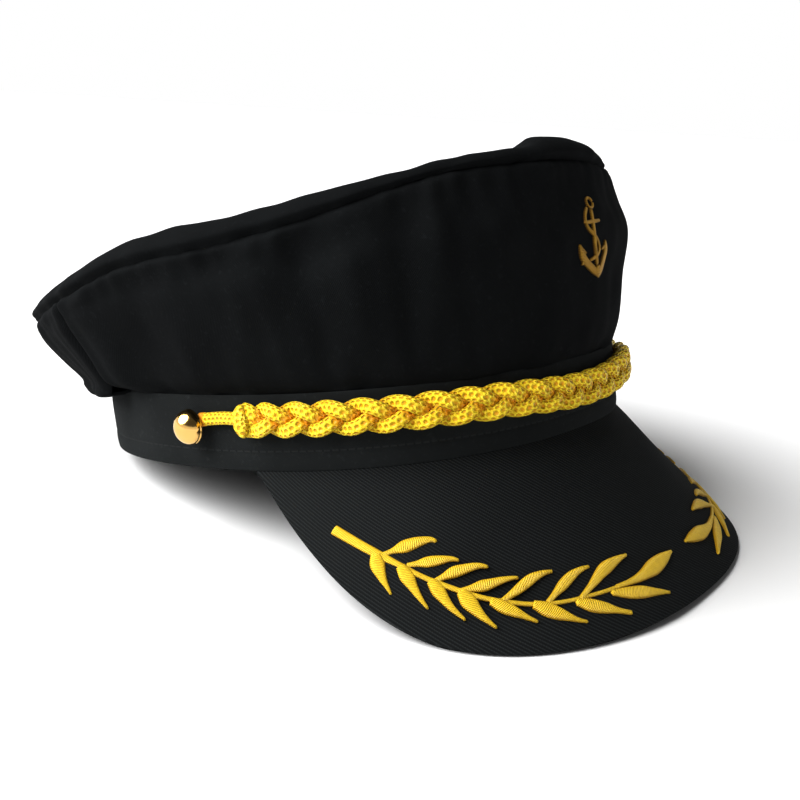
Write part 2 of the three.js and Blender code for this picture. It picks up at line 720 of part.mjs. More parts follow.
// A point on the crown's outside at a turn and height.
function crown_point(turn, height) {
  const curve = crown_profile(turn, false);
  let low = 0;
  let high = 1;
  for (let i = 0; i < 24; i += 1) {
    const share = (low + high) / 2;
    [low, high] = curve.getPoint(share).y < height ? [share, high] : [low, share];
  }
  const point = curve.getPoint(low);
  return oval(turn, point.x, height);
}

function anchor() {
  const widest_turn = 40;
  const lean = radians(anchor_lean);
  const anchor_middle = band_height + crown_height * anchor_place;
  return lay(flat_thread(anchor_shapes()), (across, up, lift) => {
    const x = anchor_shift + across * Math.cos(lean) - up * Math.sin(lean);
    const height = anchor_middle + up * Math.cos(lean) + across * Math.sin(lean);
    let low = -widest_turn;
    let high = widest_turn;
    for (let i = 0; i < 24; i += 1) {
      const turn = (low + high) / 2;
      [low, high] = crown_point(turn, height).x > x ? [turn, high] : [low, turn];
    }
    const step = 0.5;
    const side = crown_point(low - step, height).sub(crown_point(low + step, height));
    const rise = crown_point(low, height + step).sub(crown_point(low, height - step));
    return crown_point(low, height).addScaledVector(side.cross(rise).normalize(), lift);
  });
}

// The lowest height of a geometry, once the hat is tipped back by an angle.
function lowest(geometry, tip) {
  const position = geometry.attributes.position;
  let least = Infinity;
  for (let i = 0; i < position.count; i += 1) {
    const height = position.getZ(i) * Math.cos(tip) - position.getY(i) * Math.sin(tip);
    least = Math.min(least, height);
  }
  return least;
}

// The angle at which the band's back and the peak's edge touch the floor together.
function rest_tip(band_geometry, peak_geometry) {
  let low = 0;
  let high = Math.PI / 4;
  for (let i = 0; i < 40; i += 1) {
    const tip = (low + high) / 2;
    const peak_lower = lowest(peak_geometry, tip) < lowest(band_geometry, tip);
    [low, high] = peak_lower ? [tip, high] : [low, tip];
  }
  return (low + high) / 2;
}

// Cloth is pressed flat where it meets the floor.
function pressed(geometry, tip, floor) {
  const depth = 40;
  const width = 3 * band_length;
  const slab = new THREE.BoxGeometry(width, width, depth);
  slab.translate(0, 0, floor + rest_flat - depth / 2);
  slab.rotateX(tip);
  return to_geometry(to_solid(geometry).subtract(to_solid(slab)));
}

const group = new THREE.Group();
const hat = new THREE.Group();
group.add(hat);

function add(name, geometry, finish) {
  const mesh = new THREE.Mesh(geometry, new THREE.MeshStandardMaterial(finish));
  mesh.name = name;
  hat.add(mesh);
}

const band_shape = band();
const peak_shape = peak();
const tip = rest_tip(band_shape, peak_shape);
const floor = lowest(band_shape, tip);

add('crown_side', crown_side(), black_cotton);
add('crown_back', crown_back(), black_cotton);
add('crown_top', crown_top(), black_cotton);
add('band', pressed(band_shape, tip, floor), black_cotton);
add('peak', pressed(peak_shape, tip, floor), black_twill);
[1, 2, 3].forEach((number) => add(`plait_strand_${number}`, plait_strand(number - 1), gold_cord));
[['right', 1], ['left', -1]].forEach(([name, side]) => {
  add(`loop_cord_${name}`, loop_cord(side), gold_cord);
  add(`button_${name}`, button(side), brass);
  add(`laurel_${name}`, laurel(side), gold_thread);
});
add('anchor', anchor(), gold_thread);

// The hat is set down on z = 0, with the middle of its outline over the origin.
hat.rotation.x = -tip;
hat.updateMatrixWorld(true);
const outline = new THREE.Box3().setFromObject(hat, true);
const middle = outline.getCenter(new THREE.Vector3());
hat.position.set(-middle.x, -middle.y, -outline.min.z);

export default group;
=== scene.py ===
# %% [markdown]
# # A captain hat
# The solid hat comes first: it was built at its real size, it stands on z = 0 and it never moves.
# Every piece made below is cloth, cord, thread or metal laid on those solids. Each new piece takes
# the place of a solid, and rides with the one body of the hat, which is called root.

import math

import bpy
import numpy as np
from mathutils import Matrix, Vector


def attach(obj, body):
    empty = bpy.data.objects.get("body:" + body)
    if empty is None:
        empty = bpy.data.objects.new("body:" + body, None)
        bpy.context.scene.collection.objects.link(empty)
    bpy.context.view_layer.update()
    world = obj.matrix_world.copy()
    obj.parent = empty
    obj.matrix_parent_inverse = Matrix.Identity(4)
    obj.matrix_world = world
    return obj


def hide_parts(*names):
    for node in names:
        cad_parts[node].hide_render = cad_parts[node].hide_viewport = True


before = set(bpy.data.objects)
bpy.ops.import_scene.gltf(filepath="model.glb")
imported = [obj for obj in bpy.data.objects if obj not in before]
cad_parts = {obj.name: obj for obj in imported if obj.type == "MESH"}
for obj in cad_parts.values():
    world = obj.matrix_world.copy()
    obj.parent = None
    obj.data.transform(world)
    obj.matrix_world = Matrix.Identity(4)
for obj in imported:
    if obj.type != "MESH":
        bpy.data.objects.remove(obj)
scene = bpy.context.scene
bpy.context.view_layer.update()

# %% [markdown]
# ## The hat's own frame
# A hat is drawn with its band level, as it is worn. The finished one leans back on the back of
# its band and on the edge of its peak. So all shapes are worked out in millimetres in the hat's
# own frame, and the same small turn and shift sets every piece down on the floor.

# %% From the hat's frame to the floor
MM = 0.001
lean = math.radians(-12.707469430463334)
moved_back, lifted = 7.703624370616467, 22.47723085735675
set_down = Matrix.Translation((0, moved_back * MM, lifted * MM)) @ Matrix.Rotation(lean, 4, "X")
print("the hat leans back by", round(-math.degrees(lean), 1), "degrees")

# %% [markdown]
# ## The band's oval
# A head is an oval a little squarer than an ellipse. Everything round the hat is placed by a
# turn from the front, in degrees, and by how far it stands out from the band. Plain functions
# on arrays of numbers do this for thousands of points in one go.

# %% Places round the hat
band_length, band_width, band_height = 208.0, 172.0, 24.0
band_belly, band_wall, band_dip = 0.5, 2.2, 1.5
oval_fullness = 2.3
seam_gap = 0.35


def oval(turn, out, height):
    """Points on the band's oval, grown outwards by out, at a height."""
    angle = np.radians(turn)
    along, across = np.cos(angle), np.sin(angle)
    power = 2 / oval_fullness
    x = -(band_width / 2 + out) * np.sign(across) * np.abs(across) ** power
    y = -(band_length / 2 + out) * np.sign(along) * np.abs(along) ** power
    return np.stack(np.broadcast_arrays(x, y, height), axis=-1)


def band_bottom(turn):
    """The band's lower edge lies a little lower at the sides."""
    return -band_dip * np.sin(np.radians(turn)) ** 2


def length_of(line):
    """The run along a line of points, up to each of them."""
    steps = np.linalg.norm(np.diff(line, axis=0), axis=1)
    return np.concatenate([[0.0], np.cumsum(steps)])


many_turns = np.linspace(0, 180, 721)
band_run = length_of(oval(many_turns, 0, 0))


def run_of(turn):
    """The run round the band from the front to a turn, in millimetres."""
    return np.sign(turn) * np.interp(np.abs(turn), many_turns, band_run)


def turn_of(run):
    """The turn at a run from the front."""
    return np.sign(run) * np.interp(np.abs(run), band_run, many_turns)


def smooth(value, low, high):
    """0 below low, 1 above high, and an easy rise between them."""
    share = np.clip((value - low) / (high - low), 0, 1)
    return share * share * (3 - 2 * share)


def hill(distance, width):
    """1 at no distance, and down to a third at one width."""
    return np.exp(-((distance / width) ** 2))


def waves(first, second, size, seed):
    """Smooth, uneven ripples of about one size, between about -1 and 1."""
    chance = np.random.default_rng(seed)
    ripples, usual_sum = 14, 4.5
    total = 0
    for _ in range(ripples):
        way, start = chance.uniform(0, 2 * math.pi, 2)
        pace = 2 * math.pi / size * chance.uniform(0.55, 1.5)
        total = total + np.cos(pace * (first * math.cos(way) + second * math.sin(way)) + start)
    return total / usual_sum


print("round the band:", round(2 * band_run[-1], 1), "mm")

# %% [markdown]
# ## The camera
# The photograph looks at the wearer's right front, a little from above. The camera stands
# 400 mm from the middle of the band. Its lens and small shift give the photograph's framing.

# %% Camera
yaw, rise, roll = 0.7508809065256595, 0.12422573485507392, -0.10334080870321949
picture, focal = 800, 972.4275077849496
middle_x, middle_y = 353.14307351975174, 380.15625219643596
camera_away, camera_aim, sensor = 400, 15, 36
back = Vector((-math.cos(yaw) * math.cos(rise), -math.sin(yaw) * math.cos(rise), math.sin(rise)))
level = (-back).cross(Vector((0, 0, 1))).normalized()
upright = level.cross(-back)
right = math.cos(roll) * level + math.sin(roll) * upright
up = math.cos(roll) * upright - math.sin(roll) * level
place = (Vector((0, 0, camera_aim)) + back * camera_away) * MM
stand = Matrix([(*row, at) for row, at in zip(zip(right, up, back), place)] + [(0, 0, 0, 1)])
camera = bpy.data.objects.new("camera", bpy.data.cameras.new("camera"))
scene.collection.objects.link(camera)
camera.matrix_world = set_down @ stand
camera.data.sensor_width = sensor
camera.data.lens = focal / picture * sensor
camera.data.shift_x = (picture / 2 - middle_x) / picture
camera.data.shift_y = (middle_y - picture / 2) / picture
camera.data.clip_start, camera.data.clip_end = 0.01, 20
scene.camera = camera
print("camera at", [round(v, 3) for v in camera.matrix_world.translation])
print("lens", round(camera.data.lens, 2))

# %% [markdown]
# ## Shader sums as Python
# A finish is a small net of nodes. Written as sums, such as `rib * 0.6 + 0.2`, it is easier to
# read than a list of links. A Wire holds one value in the net, and each sum on it adds a node.

# %% A wire and a finish


class Wire:
    """One value in a finish. Sums on it add Math nodes."""

    def __init__(self, finish, socket):
        self.finish, self.socket = finish, socket

    def math(self, operation, *others):
        terms = dict(enumerate((self, *others)))
        made = self.finish.node("ShaderNodeMath", {"operation": operation}, terms)
        return Wire(self.finish, made.outputs[0])

    def __add__(self, other):
        return self.math("ADD", other)

    def __sub__(self, other):
        return self.math("SUBTRACT", other)

    def __mul__(self, other):
        return self.math("MULTIPLY", other)

    def __truediv__(self, other):
        return self.math("DIVIDE", other)

    def __rsub__(self, other):
        return (self * -1.0).math("ADD", other)

    def __abs__(self):
        return self.math("ABSOLUTE")

    __radd__ = __add__

    def wave(self):
        """A wave between 0 and 1 that comes back at each whole number."""
        return (self * (2 * math.pi)).math("SINE") * 0.5 + 0.5

    def rest(self):
        """What is left over a whole number, from 0 to 1."""
        return self.math("FRACT")

    def ease(self, low, high):
        """0 below low and 1 above high."""
        made = self.finish.node("ShaderNodeMapRange", {"interpolation_type": "SMOOTHSTEP"},
                                {0: self, 1: low, 2: high})
        return Wire(self.finish, made.outputs[0])


class Finish:
    """A material while its nodes are being joined."""

    def __init__(self, name):
        self.material = bpy.data.materials.new(name)
        self.material.use_nodes = True
        self.tree = self.material.node_tree
        self.tree.nodes.clear()

    def node(self, kind, settings=None, inputs=None):
        made = self.tree.nodes.new(kind)
        for key, value in (settings or {}).items():
            setattr(made, key, value)
        for key, value in (inputs or {}).items():
            source = getattr(value, "socket", value)
            if isinstance(source, bpy.types.NodeSocket):
                self.tree.links.new(source, made.inputs[key])
            else:
                made.inputs[key].default_value = source
        return made

    def on_cloth(self):
        """The two measures along a piece: its own UV map, in millimetres."""
        found = self.node("ShaderNodeUVMap", {"uv_map": "UVMap"})
        parts = self.node("ShaderNodeSeparateXYZ", inputs={0: found.outputs[0]})
        return Wire(self, parts.outputs[0]), Wire(self, parts.outputs[1])

    def cloud(self, size, detail=3.0, seed=0.0):
        """Soft patches of about a size in metres, between 0 and 1."""
        place = self.node("ShaderNodeTexCoord").outputs["Object"]
        inputs = {"Vector": place, "W": seed, "Scale": 1 / size, "Detail": detail}
        made = self.node("ShaderNodeTexNoise", {"noise_dimensions": "4D"}, inputs)
        return Wire(self, made.outputs[0])

    def tint(self, share, low, high):
        """A colour between two colours."""
        low, high = (end if isinstance(end, Wire) else (*end, 1.0) for end in (low, high))
        made = self.node("ShaderNodeMix", {"data_type": "RGBA"}, {0: share, 6: low, 7: high})
        return Wire(self, made.outputs[2])

    def done(self, colour, roughness, height=None, relief=0.0, **constants):
        """Joins colour, roughness and relief in metres to the surface."""
        inputs = {"Base Color": colour, "Roughness": roughness}
        if height is not None:
            bump = self.node("ShaderNodeBump", inputs={"Height": height, "Distance": relief})
            inputs["Normal"] = bump.outputs[0]
        inputs.update({key.replace("_", " "): value for key, value in constants.items()})
        surface = self.node("ShaderNodeBsdfPrincipled", inputs=inputs)
        self.node("ShaderNodeOutputMaterial", inputs={0: surface.outputs[0]})
        print("finish:", self.material.name, "with", len(self.tree.nodes), "nodes")
        return self.material


# %% [markdown]
# ## Black cotton
# The crown and the band are sewn from thin cotton in a fine twill. The threads are too small to
# see from afar, but they break the light up. Dye fades unevenly, so soft clouds make some places
# a little greyer. The pattern runs on the cloth's own measures, so it turns with the cloth.

# %% Black cotton finish
rib_pitch, yarn_pitch, dash_pitch = 0.62, 0.43, 2.9
stitch_colour = (0.050, 0.052, 0.052)


def cotton_finish(name, dark, light, gloss, stitch_lines=()):
    """Fine cotton with rows of stitches at some measures up the cloth."""
    cotton = Finish(name)
    across, along = cotton.on_cloth()
    rib = ((across + along) / rib_pitch).wave()
    thread = ((across - along) / yarn_pitch).wave()
    weave = rib * 0.7 + thread * 0.3
    faded = cotton.cloud(0.022, 4.0, 3.0)
    lint = cotton.cloud(0.0016, 2.0, 8.0).ease(0.55, 0.8)
    worn = (faded * 0.55 + weave * 0.3 + lint * 0.35).ease(0.2, 1.0)
    height = weave * 0.45 + lint * 0.2 + faded * 0.3
    colour = cotton.tint(worn, dark, light)
    for line in stitch_lines:
        near = 1 - abs(along - line).ease(0.12, 0.42)
        dash = near * (1 - abs((across / dash_pitch).rest() - 0.5).ease(0.36, 0.42))
        height = height - near * 0.9 + dash * 1.5
        colour = cotton.tint(dash * 0.3, colour, stitch_colour)
    return cotton.done(colour, 0.88, height, 0.00012, Specular_IOR_Level=gloss)


crown_tones = (0.0070, 0.0077, 0.0082), (0.0150, 0.0166, 0.0178)
band_tones = (0.0130, 0.0146, 0.0150), (0.0290, 0.0322, 0.0330)
hem_height = 6.2
black_cotton = cotton_finish("black_cotton", *crown_tones, 0.05)
band_cotton = cotton_finish("band_cotton", *band_tones, 0.10, stitch_lines=(hem_height,))

# %% [markdown]
# ## Black twill
# The peak is covered in a heavier twill. Its ribs are about a millimetre apart and cross the
# peak at 45 degrees, because the cloth was cut square to the middle of the hat.

# %% Black twill finish
twill = Finish("black_twill")
run_across, run_down = twill.on_cloth()
twill_pitch, twill_yarn = 1.12, 0.7
rib_place = (run_across * 0.69 + run_down * 0.72) / twill_pitch
rib_wave = rib_place.wave()
yarn = ((run_across * 0.72 - run_down * 0.69) / twill_yarn + rib_place.rest() * 0.5).wave()
lit_rib = rib_wave.ease(0.25, 0.95)
twill_fade = twill.cloud(0.030, 4.0, 5.0)
twill_height = lit_rib * (0.75 + yarn * 0.35)
twill_lit = (lit_rib * (0.55 + yarn * 0.3) + twill_fade * 0.25).ease(0.05, 1.05)
twill_colour = twill.tint(twill_lit, (0.0110, 0.0122, 0.0126), (0.0270, 0.0300, 0.0308))
black_twill = twill.done(twill_colour, 0.84, twill_height, 0.00015, Specular_IOR_Level=0.1)

# %% [markdown]
# ## Knitted gold cord
# The cord is a flat knitted tube of yellow yarn. Its stitches leave small holes between them,
# and those of one column, a wale, lie half a stitch farther on than its neighbour's. The cord's
# UV map counts stitches along and wales round, so the finish draws one stitch and repeats it.
# Where a cord runs under another, its colour is painted a deeper orange as painted shade, for the
# light that has come through yellow yarn there. A value called low is kept on the cord's points for
# this.

# %% Knitted cord finish
knit = Finish("gold_cord")
stitch_along, wale_round = knit.on_cloth()
wale = wale_round.math("FLOOR")
from_stitch = (stitch_along + wale * 0.5).rest() - 0.5
from_wale = wale_round.rest() - 0.5
uneven = (knit.cloud(0.0016, 1.0, 0.0) - 0.5) * 0.4
from_hole = (from_stitch * from_stitch + from_wale * from_wale * 1.2).math("SQRT") + uneven
twist = (stitch_along * 2.0 + from_wale * 1.5).wave()
knit_height = from_hole.ease(0.08, 0.5) * (0.75 + twist * 0.25)
knit_cloud = knit.cloud(0.006, 3.0, 2.0)
low_value = knit.node("ShaderNodeAttribute", {"attribute_name": "low"})
# painted shade: the cord's colour turns orange where it lies under another cord
painted_under_shade = Wire(knit, low_value.outputs["Fac"]).ease(0.5, 0.92)
# painted shade: the holes between the stitches are coloured a darker orange
hole_shade_gold = knit.tint(knit_cloud, (0.62, 0.27, 0.004), (0.78, 0.40, 0.006))
light_gold = knit.tint(knit_cloud, (0.97, 0.67, 0.024), (1.0, 0.83, 0.060))
yarn_gold = knit.tint(painted_under_shade * 0.85, light_gold, (0.88, 0.31, 0.005))
knit_gold = knit.tint(from_hole.ease(0.06, 0.52), hole_shade_gold, yarn_gold)
gold_cord = knit.done(knit_gold, 0.40, knit_height, 0.0008, Specular_IOR_Level=0.4)

# %% [markdown]
# ## Satin stitch
# The laurels are embroidered: shiny yellow threads lie side by side across each leaf, a little
# aslant. They are about half a millimetre apart and dip into the cloth at the leaf's edge, where
# painted shade darkens them. The same finish in other colours serves the anchor and the whippings.

# %% Satin stitch finish
thread_pitch = 0.58


def thread_finish(name, dark, light, roughness, metal=0.0):
    satin = Finish(name)
    run, round_share = satin.on_cloth()
    across = (round_share * (2 * math.pi)).math("COSINE")
    uneven = satin.cloud(0.0022, 2.0, 4.0)
    thread = ((run + across * 1.1 + uneven * 0.5) / thread_pitch).wave()
    # painted shade: the threads are coloured darker towards the leaf's edge
    edge = abs(across).ease(0.6, 1.0)
    lit = (thread * 0.6 + uneven * 0.5 + 0.1 - edge * 0.5).ease(0.0, 0.9)
    height = thread * 0.9 + uneven * 0.7
    return satin.done(satin.tint(lit, dark, light), roughness, height, 0.00022,
                      Metallic=metal, Specular_IOR_Level=0.45)


gold_thread = thread_finish("gold_thread", (0.48, 0.26, 0.008), (0.88, 0.63, 0.04), 0.45)
anchor_thread = thread_finish("anchor_thread", (0.09, 0.035, 0.003), (0.62, 0.36, 0.035), 0.45, 0.3)
whipping = thread_finish("whipping_thread", (0.45, 0.13, 0.004), (0.85, 0.38, 0.012), 0.5)

# %% [markdown]
# ## Polished brass
# The buttons are stamped brass with a thin lacquer. Handling leaves faint smears, which show
# only as a small change of gloss.

# %% Brass finish
metal = Finish("brass")
smear = metal.cloud(0.004, 4.0, 6.0)
brass_colour = metal.tint(smear, (0.80, 0.50, 0.16), (0.86, 0.58, 0.22))
brass = metal.done(brass_colour, 0.10 + smear * 0.10, smear, 0.00002,
                   Metallic=1.0, Coat_Weight=0.4, Coat_Roughness=0.05)

# %% [markdown]
# ## Laying cloth on a form
# A tailor lays flat cloth on a form. The same is done here: a flat grid is added, and each of
# its points is moved to its place on the form, while its UV map keeps the cloth's own measures.
# Where the grid comes back to itself, as on a cord or the band, its edges are merged.

# %% A helper that lays a grid on a form


def pick(*pieces):
    """Selects these pieces alone, and makes the first one active."""
    bpy.ops.object.select_all(action="DESELECT")
    for piece in pieces:
        piece.select_set(True)
    bpy.context.view_layer.objects.active = pieces[0]


def lay(name, columns, rows, form, measures, low=None):
    """A grid whose points go where form(across, along) says, both from 0 to 1, in millimetres."""
    bpy.ops.object.select_all(action="DESELECT")
    bpy.ops.mesh.primitive_grid_add(x_subdivisions=columns, y_subdivisions=rows, size=2)
    piece = bpy.context.object
    piece.name = piece.data.name = name
    mesh = piece.data
    flat = np.empty(len(mesh.vertices) * 3)
    mesh.vertices.foreach_get("co", flat)
    flat = (flat.reshape(-1, 3) + 1) / 2
    mesh.vertices.foreach_set("co", (form(flat[:, 0], flat[:, 1]) * MM).ravel())
    layer = mesh.uv_layers[0]
    layer.name = "UVMap"
    corner = np.empty(len(mesh.loops), dtype=int)
    mesh.loops.foreach_get("vertex_index", corner)
    first, second = measures(flat[corner, 0], flat[corner, 1])
    layer.uv.foreach_set("vector", np.stack([first, second], axis=1).ravel())
    if low is not None:
        mesh.attributes.new("low", "FLOAT", "POINT").data.foreach_set("value", low(flat[:, 0]))
    bpy.ops.object.mode_set(mode="EDIT")
    bpy.ops.mesh.select_all(action="SELECT")
    bpy.ops.mesh.remove_doubles(threshold=2e-6)
    bpy.ops.mesh.dissolve_degenerate(threshold=1e-7)
    bpy.ops.mesh.normals_make_consistent(inside=False)
    bpy.ops.object.mode_set(mode="OBJECT")
    return piece


sharp = math.radians(60)


def thicken(piece, wall, rounded, steps):
    """Turns a sheet to face outwards, gives it a wall on the inner side, and rounds the edges."""
    middle = Vector((0, 0, 20 * MM))
    if sum(face.normal.dot(face.center - middle) * face.area for face in piece.data.polygons) < 0:
        piece.data.flip_normals()
    solid = piece.modifiers.new("wall", "SOLIDIFY")
    solid.thickness = wall * MM
    solid.offset = -1
    edge = piece.modifiers.new("edge", "BEVEL")
    edge.width = rounded * MM
    edge.segments = steps
    edge.limit_method = "ANGLE"
    edge.angle_limit = sharp
    pick(piece)
    for modifier in list(piece.modifiers):
        bpy.ops.object.modifier_apply(modifier=modifier.name)


def finish_piece(piece, material, slot, *nodes):
    """Sets a piece down with the hat, smooths it, and hides the solids that it takes the place of.
    """
    piece.data.transform(set_down)
    piece.data.materials.clear()
    piece.data.materials.append(material)
    pick(piece)
    bpy.ops.object.shade_smooth_by_angle(angle=sharp)
    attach(piece, "root")
    if nodes:
        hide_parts(*nodes)
    triangles = sum(len(face.vertices) - 2 for face in piece.data.polygons)
    print(piece.name, triangles, "triangles")


# %% [markdown]
# ## The crown's form
# The crown stands tall at the front and slopes down to the back, where it overhangs the band.
# A table gives its section every 15 degrees. The seam that joins side and top sits at the rim.

# %% The crown's sections
crown_height, crown_overhang, crown_roll, crown_lip, crown_sag = 66.0, 25.0, 8.0, 5.0, 2.5
back_seam_turn, section_step = 107.5, 15
crown_sections = {
    "rim": (1, 0.99, 0.967, 0.9, 0.807, 0.742, 0.697, 0.57, 0.47, 0.4, 0.356, 0.333, 0.326),
    "rim_out": (0.02, 0.03, 0.08, 0.22, 0.42, 0.58, 0.72, 0.86, 0.97, 1, 1, 0.99, 0.98),
    "belly_at": (0.64, 0.64, 0.64, 0.65, 0.66, 0.68, 0.7, 0.7, 0.7, 0.69, 0.68, 0.68, 0.68),
    "belly_out": (0.22, 0.27, 0.35, 0.39, 0.46, 0.52, 0.61, 0.73, 0.84, 0.87, 0.87, 0.85, 0.84),
    "foot_out": (0.11, 0.11, 0.11, 0.12, 0.13, 0.16, 0.2, 0.3, 0.4, 0.43, 0.44, 0.44, 0.44),
    "roll": (1.25, 0.68, 0.34, 0.5, 0.92, 1.08, 1.1, 1.15, 1.15, 1.1, 1.05, 1, 1),
    "lip": (0, 0, 0, 0, 0, 0, 0, 0.1, 0.7, 1, 1, 1, 1),
}


def read(column, turn):
    """A column of the table at any turn, by a smooth curve, alike on both sides."""
    rows = np.array(crown_sections[column], dtype=float)
    last = len(rows) - 1
    place = np.abs(turn - 360 * np.round(turn / 360)) / section_step
    start = np.minimum(np.floor(place).astype(int), last - 1)
    share = place - start
    near = (rows[last - np.abs(last - np.abs(start + step))] for step in (-1, 0, 1, 2))
    before, low, high, after = near
    bend = share * share * (3 - 2 * share)
    return (low + (high - low) * bend
            + ((high - before) * (1 - share) - (after - low) * share) * share * (1 - share) / 2)


def through(points, share):
    """A smooth curve through points, at one share for each place. points[i] has all the places."""
    last = len(points) - 1
    place = np.clip(share, 0, 1) * last
    start = np.minimum(np.floor(place).astype(int), last - 1)
    rest = (place - start)[:, None]
    each = np.arange(len(share))
    knot = [points[np.clip(start + step, 0, last), each] for step in (-1, 0, 1, 2)]
    rise, fall = (knot[2] - knot[0]) / 2, (knot[3] - knot[1]) / 2
    return ((2 * knot[1] - 2 * knot[2] + rise + fall) * rest**3
            + (-3 * knot[1] + 3 * knot[2] - 2 * rise - fall) * rest**2 + rise * rest + knot[1])


def crown_section(turn, share, with_lip):
    """How far out and how high the cloth is, from the crown's foot (0) to the rim seam (1)."""
    turn, share = np.broadcast_arrays(np.asarray(turn, float), np.asarray(share, float))
    rim, belly, foot = (crown_overhang * read(f"{at}_out", turn) for at in ("rim", "belly", "foot"))
    base = band_height + seam_gap
    top = band_height + crown_height * read("rim", turn) - seam_gap
    belly_at = read("belly_at", turn)

    def knot(out, height):
        return np.stack(np.broadcast_arrays(out, height, turn)[:2], axis=-1)

    def up(part):
        return base + (top - base) * part

    rows = [knot(foot, up(0.12)), knot((foot + belly) / 2, up((0.12 + belly_at) / 2)),
            knot(belly, up(belly_at)), knot((belly * 1.1 + rim) / 2.1, up((belly_at + 1) / 2)),
            knot(rim, up(1.0))]
    if with_lip:
        lip = crown_lip * np.maximum(read("lip", turn), 0.1)
        hem = band_height - lip
        inner = band_belly + seam_gap
        full = np.maximum(foot, inner + 3.6)
        rows = [knot(-0.6, band_height - 0.5), knot(inner + 0.1, (band_height + hem) / 2),
                knot(inner + 1.08, hem), knot(inner + (full - inner) * 0.72, hem + lip * 0.18),
                knot(full * 0.98, band_height), *rows]
    else:
        rows = [knot(-0.9, band_height - 0.8), knot(0.5, band_height + 0.9), *rows]
    return through(np.array(rows), share)


front_rim = crown_section([0.0], [1.0], False)[0, 1]
print("the rim seam is", round(float(front_rim), 1), "mm up at the front")

# %% [markdown]
# ## Folds
# Slack cotton falls in soft folds. Each row of the table is one fold: the turn it lies at, its
# width in degrees, the shares of the panel's height between which it runs, how deep it is in
# millimetres, and how far it leans sideways on its way up, in degrees. Close to a seam the cloth
# is drawn in, and the stitches pucker it. All of this moves the cloth in or out.

# %% The crown's folds
fold_fade = 0.16
folds = [
    (35, 3.6, 0.30, 1.05, 1.3, 0), (41, 3.2, 0.35, 1.05, -1.6, 0), (50, 4.5, 0.45, 1.0, 1.2, 0),
    (58, 4.5, 0.25, 0.9, -2.4, 4), (66, 4.5, 0.5, 1.05, 1.5, 0), (78, 5, 0.4, 1.0, -1.2, 0),
    (94, 4, -0.05, 0.5, -1.8, 3), (101, 3, 0.0, 1.0, 1.6, 0), (112, 3, 0.1, 0.95, 1.4, 0),
    (124, 6, 0.05, 0.6, -2.8, -6), (150, 8, 0.1, 0.7, -1.8, 0), (-38, 4, 0.3, 1.0, -1.5, 0),
    (-52, 5, 0.4, 1.0, 1.5, 0), (-64, 5, 0.25, 0.95, -2.4, 0), (-82, 6, 0.4, 1.0, 1.2, 0),
    (-97, 4, 0.0, 0.6, -1.5, 0), (-118, 6, 0.05, 0.7, -2.4, 0), (-146, 7, 0.2, 0.8, 1.5, 0),
]


def around(first, second):
    """The shortest way round from one turn to another."""
    return first - second - 360 * np.round((first - second) / 360)


def cloth_moves(turn, share, height):
    """How far folds, seams and puckers move the crown's cloth out (+) or in (-)."""
    moved = 0
    for at, width, low, high, depth, sideways in folds:
        begun = smooth(share, low - fold_fade, low + fold_fade)
        ended = smooth(share, high - fold_fade, high + fold_fade)
        aside = around(turn, at + sideways * (share - 0.5))
        moved = moved + depth * hill(aside, width) * begun * (1 - ended)
    run = run_of(around(turn, 0))
    up_panel = share * height
    from_rim = (1 - share) * height
    edges = smooth(up_panel, 0, 9) * smooth(from_rim, 0, 6)
    moved = moved * edges
    moved = moved + 0.75 * waves(run, up_panel * 0.7, 34, 11) * edges
    moved = moved + 0.30 * waves(run, up_panel * 0.6, 12, 12) * edges
    moved = moved + 0.45 * waves(run, 0 * run, 8.5, 13) * hill(from_rim - 3.5, 4.5)
    moved = moved + 0.40 * waves(run, 0 * run, 10, 14) * hill(up_panel - 4.0, 4.0)
    moved = moved + 0.7 * hill(from_rim - 3.0, 3.0) - 1.5 * hill(from_rim, 1.5)
    return moved


# %% [markdown]
# ## The crown's side and back panels
# The side is one long panel that runs round the front, and the back is a second panel. They
# meet in two seams behind the ears, where the cloth puffs up on both sides of a deep line. The
# back panel also hangs over the band in a soft lip.

# %% Side and back panels
half_seam, flare = 0.1, 1.08
side_end = back_seam_turn - half_seam


def seam_moves(turn):
    """The seam between side and back draws the cloth in, and puffs it up next to it."""
    away = run_of(back_seam_turn) - np.abs(run_of(around(turn, 0)))
    return 0.9 * hill(np.abs(away) - 3.2, 2.6) - 1.7 * hill(away, 1.25)


def crown_panel_form(start, end, with_lip):
    """Where a panel's points go between two turns, and its flat measures."""
    def form(across, along):
        turn = start + (end - start) * across
        section = crown_section(turn, along, with_lip)
        height = crown_height * read("rim", turn) + with_lip * crown_lip
        out = section[:, 0] + cloth_moves(turn, along, height) + seam_moves(turn)
        if with_lip:
            clear_of_band = np.maximum(out, band_belly + seam_gap + 0.9)
            out = np.where(along > 0.15, clear_of_band, section[:, 0])
        return oval(turn, out, section[:, 1])

    def measures(across, along):
        turn = start + (end - start) * across
        return run_of(around(turn, 0)) * flare, along * crown_height * read("rim", turn)

    return form, measures


side_form = crown_panel_form(-side_end, side_end, False)
crown_side = lay("crown_side_cloth", 490, 96, *side_form)
thicken(crown_side, 1.3, 0.3, 1)
finish_piece(crown_side, black_cotton, "black_cotton", "crown_side")
back_start = back_seam_turn + half_seam
back_form = crown_panel_form(back_start, 360 - back_start, True)
crown_back = lay("crown_back_cloth", 300, 90, *back_form)
thicken(crown_back, 1.2, 0.3, 1)
finish_piece(crown_back, black_cotton, "black_cotton", "crown_back")

# %% [markdown]
# ## The crown's top
# The top is a slack oval of cloth. Its edge is stuffed into a soft roll that stands up inside
# the rim seam. The grid is laid from the middle outwards, over the roll and down into the seam.

# %% Top panel
roll_outline = [(-0.24, -0.24), (-0.13, 0.0), (0.03, 0.3), (-0.26, 0.66), (-0.75, 0.9), (-1.5, 1.0)]


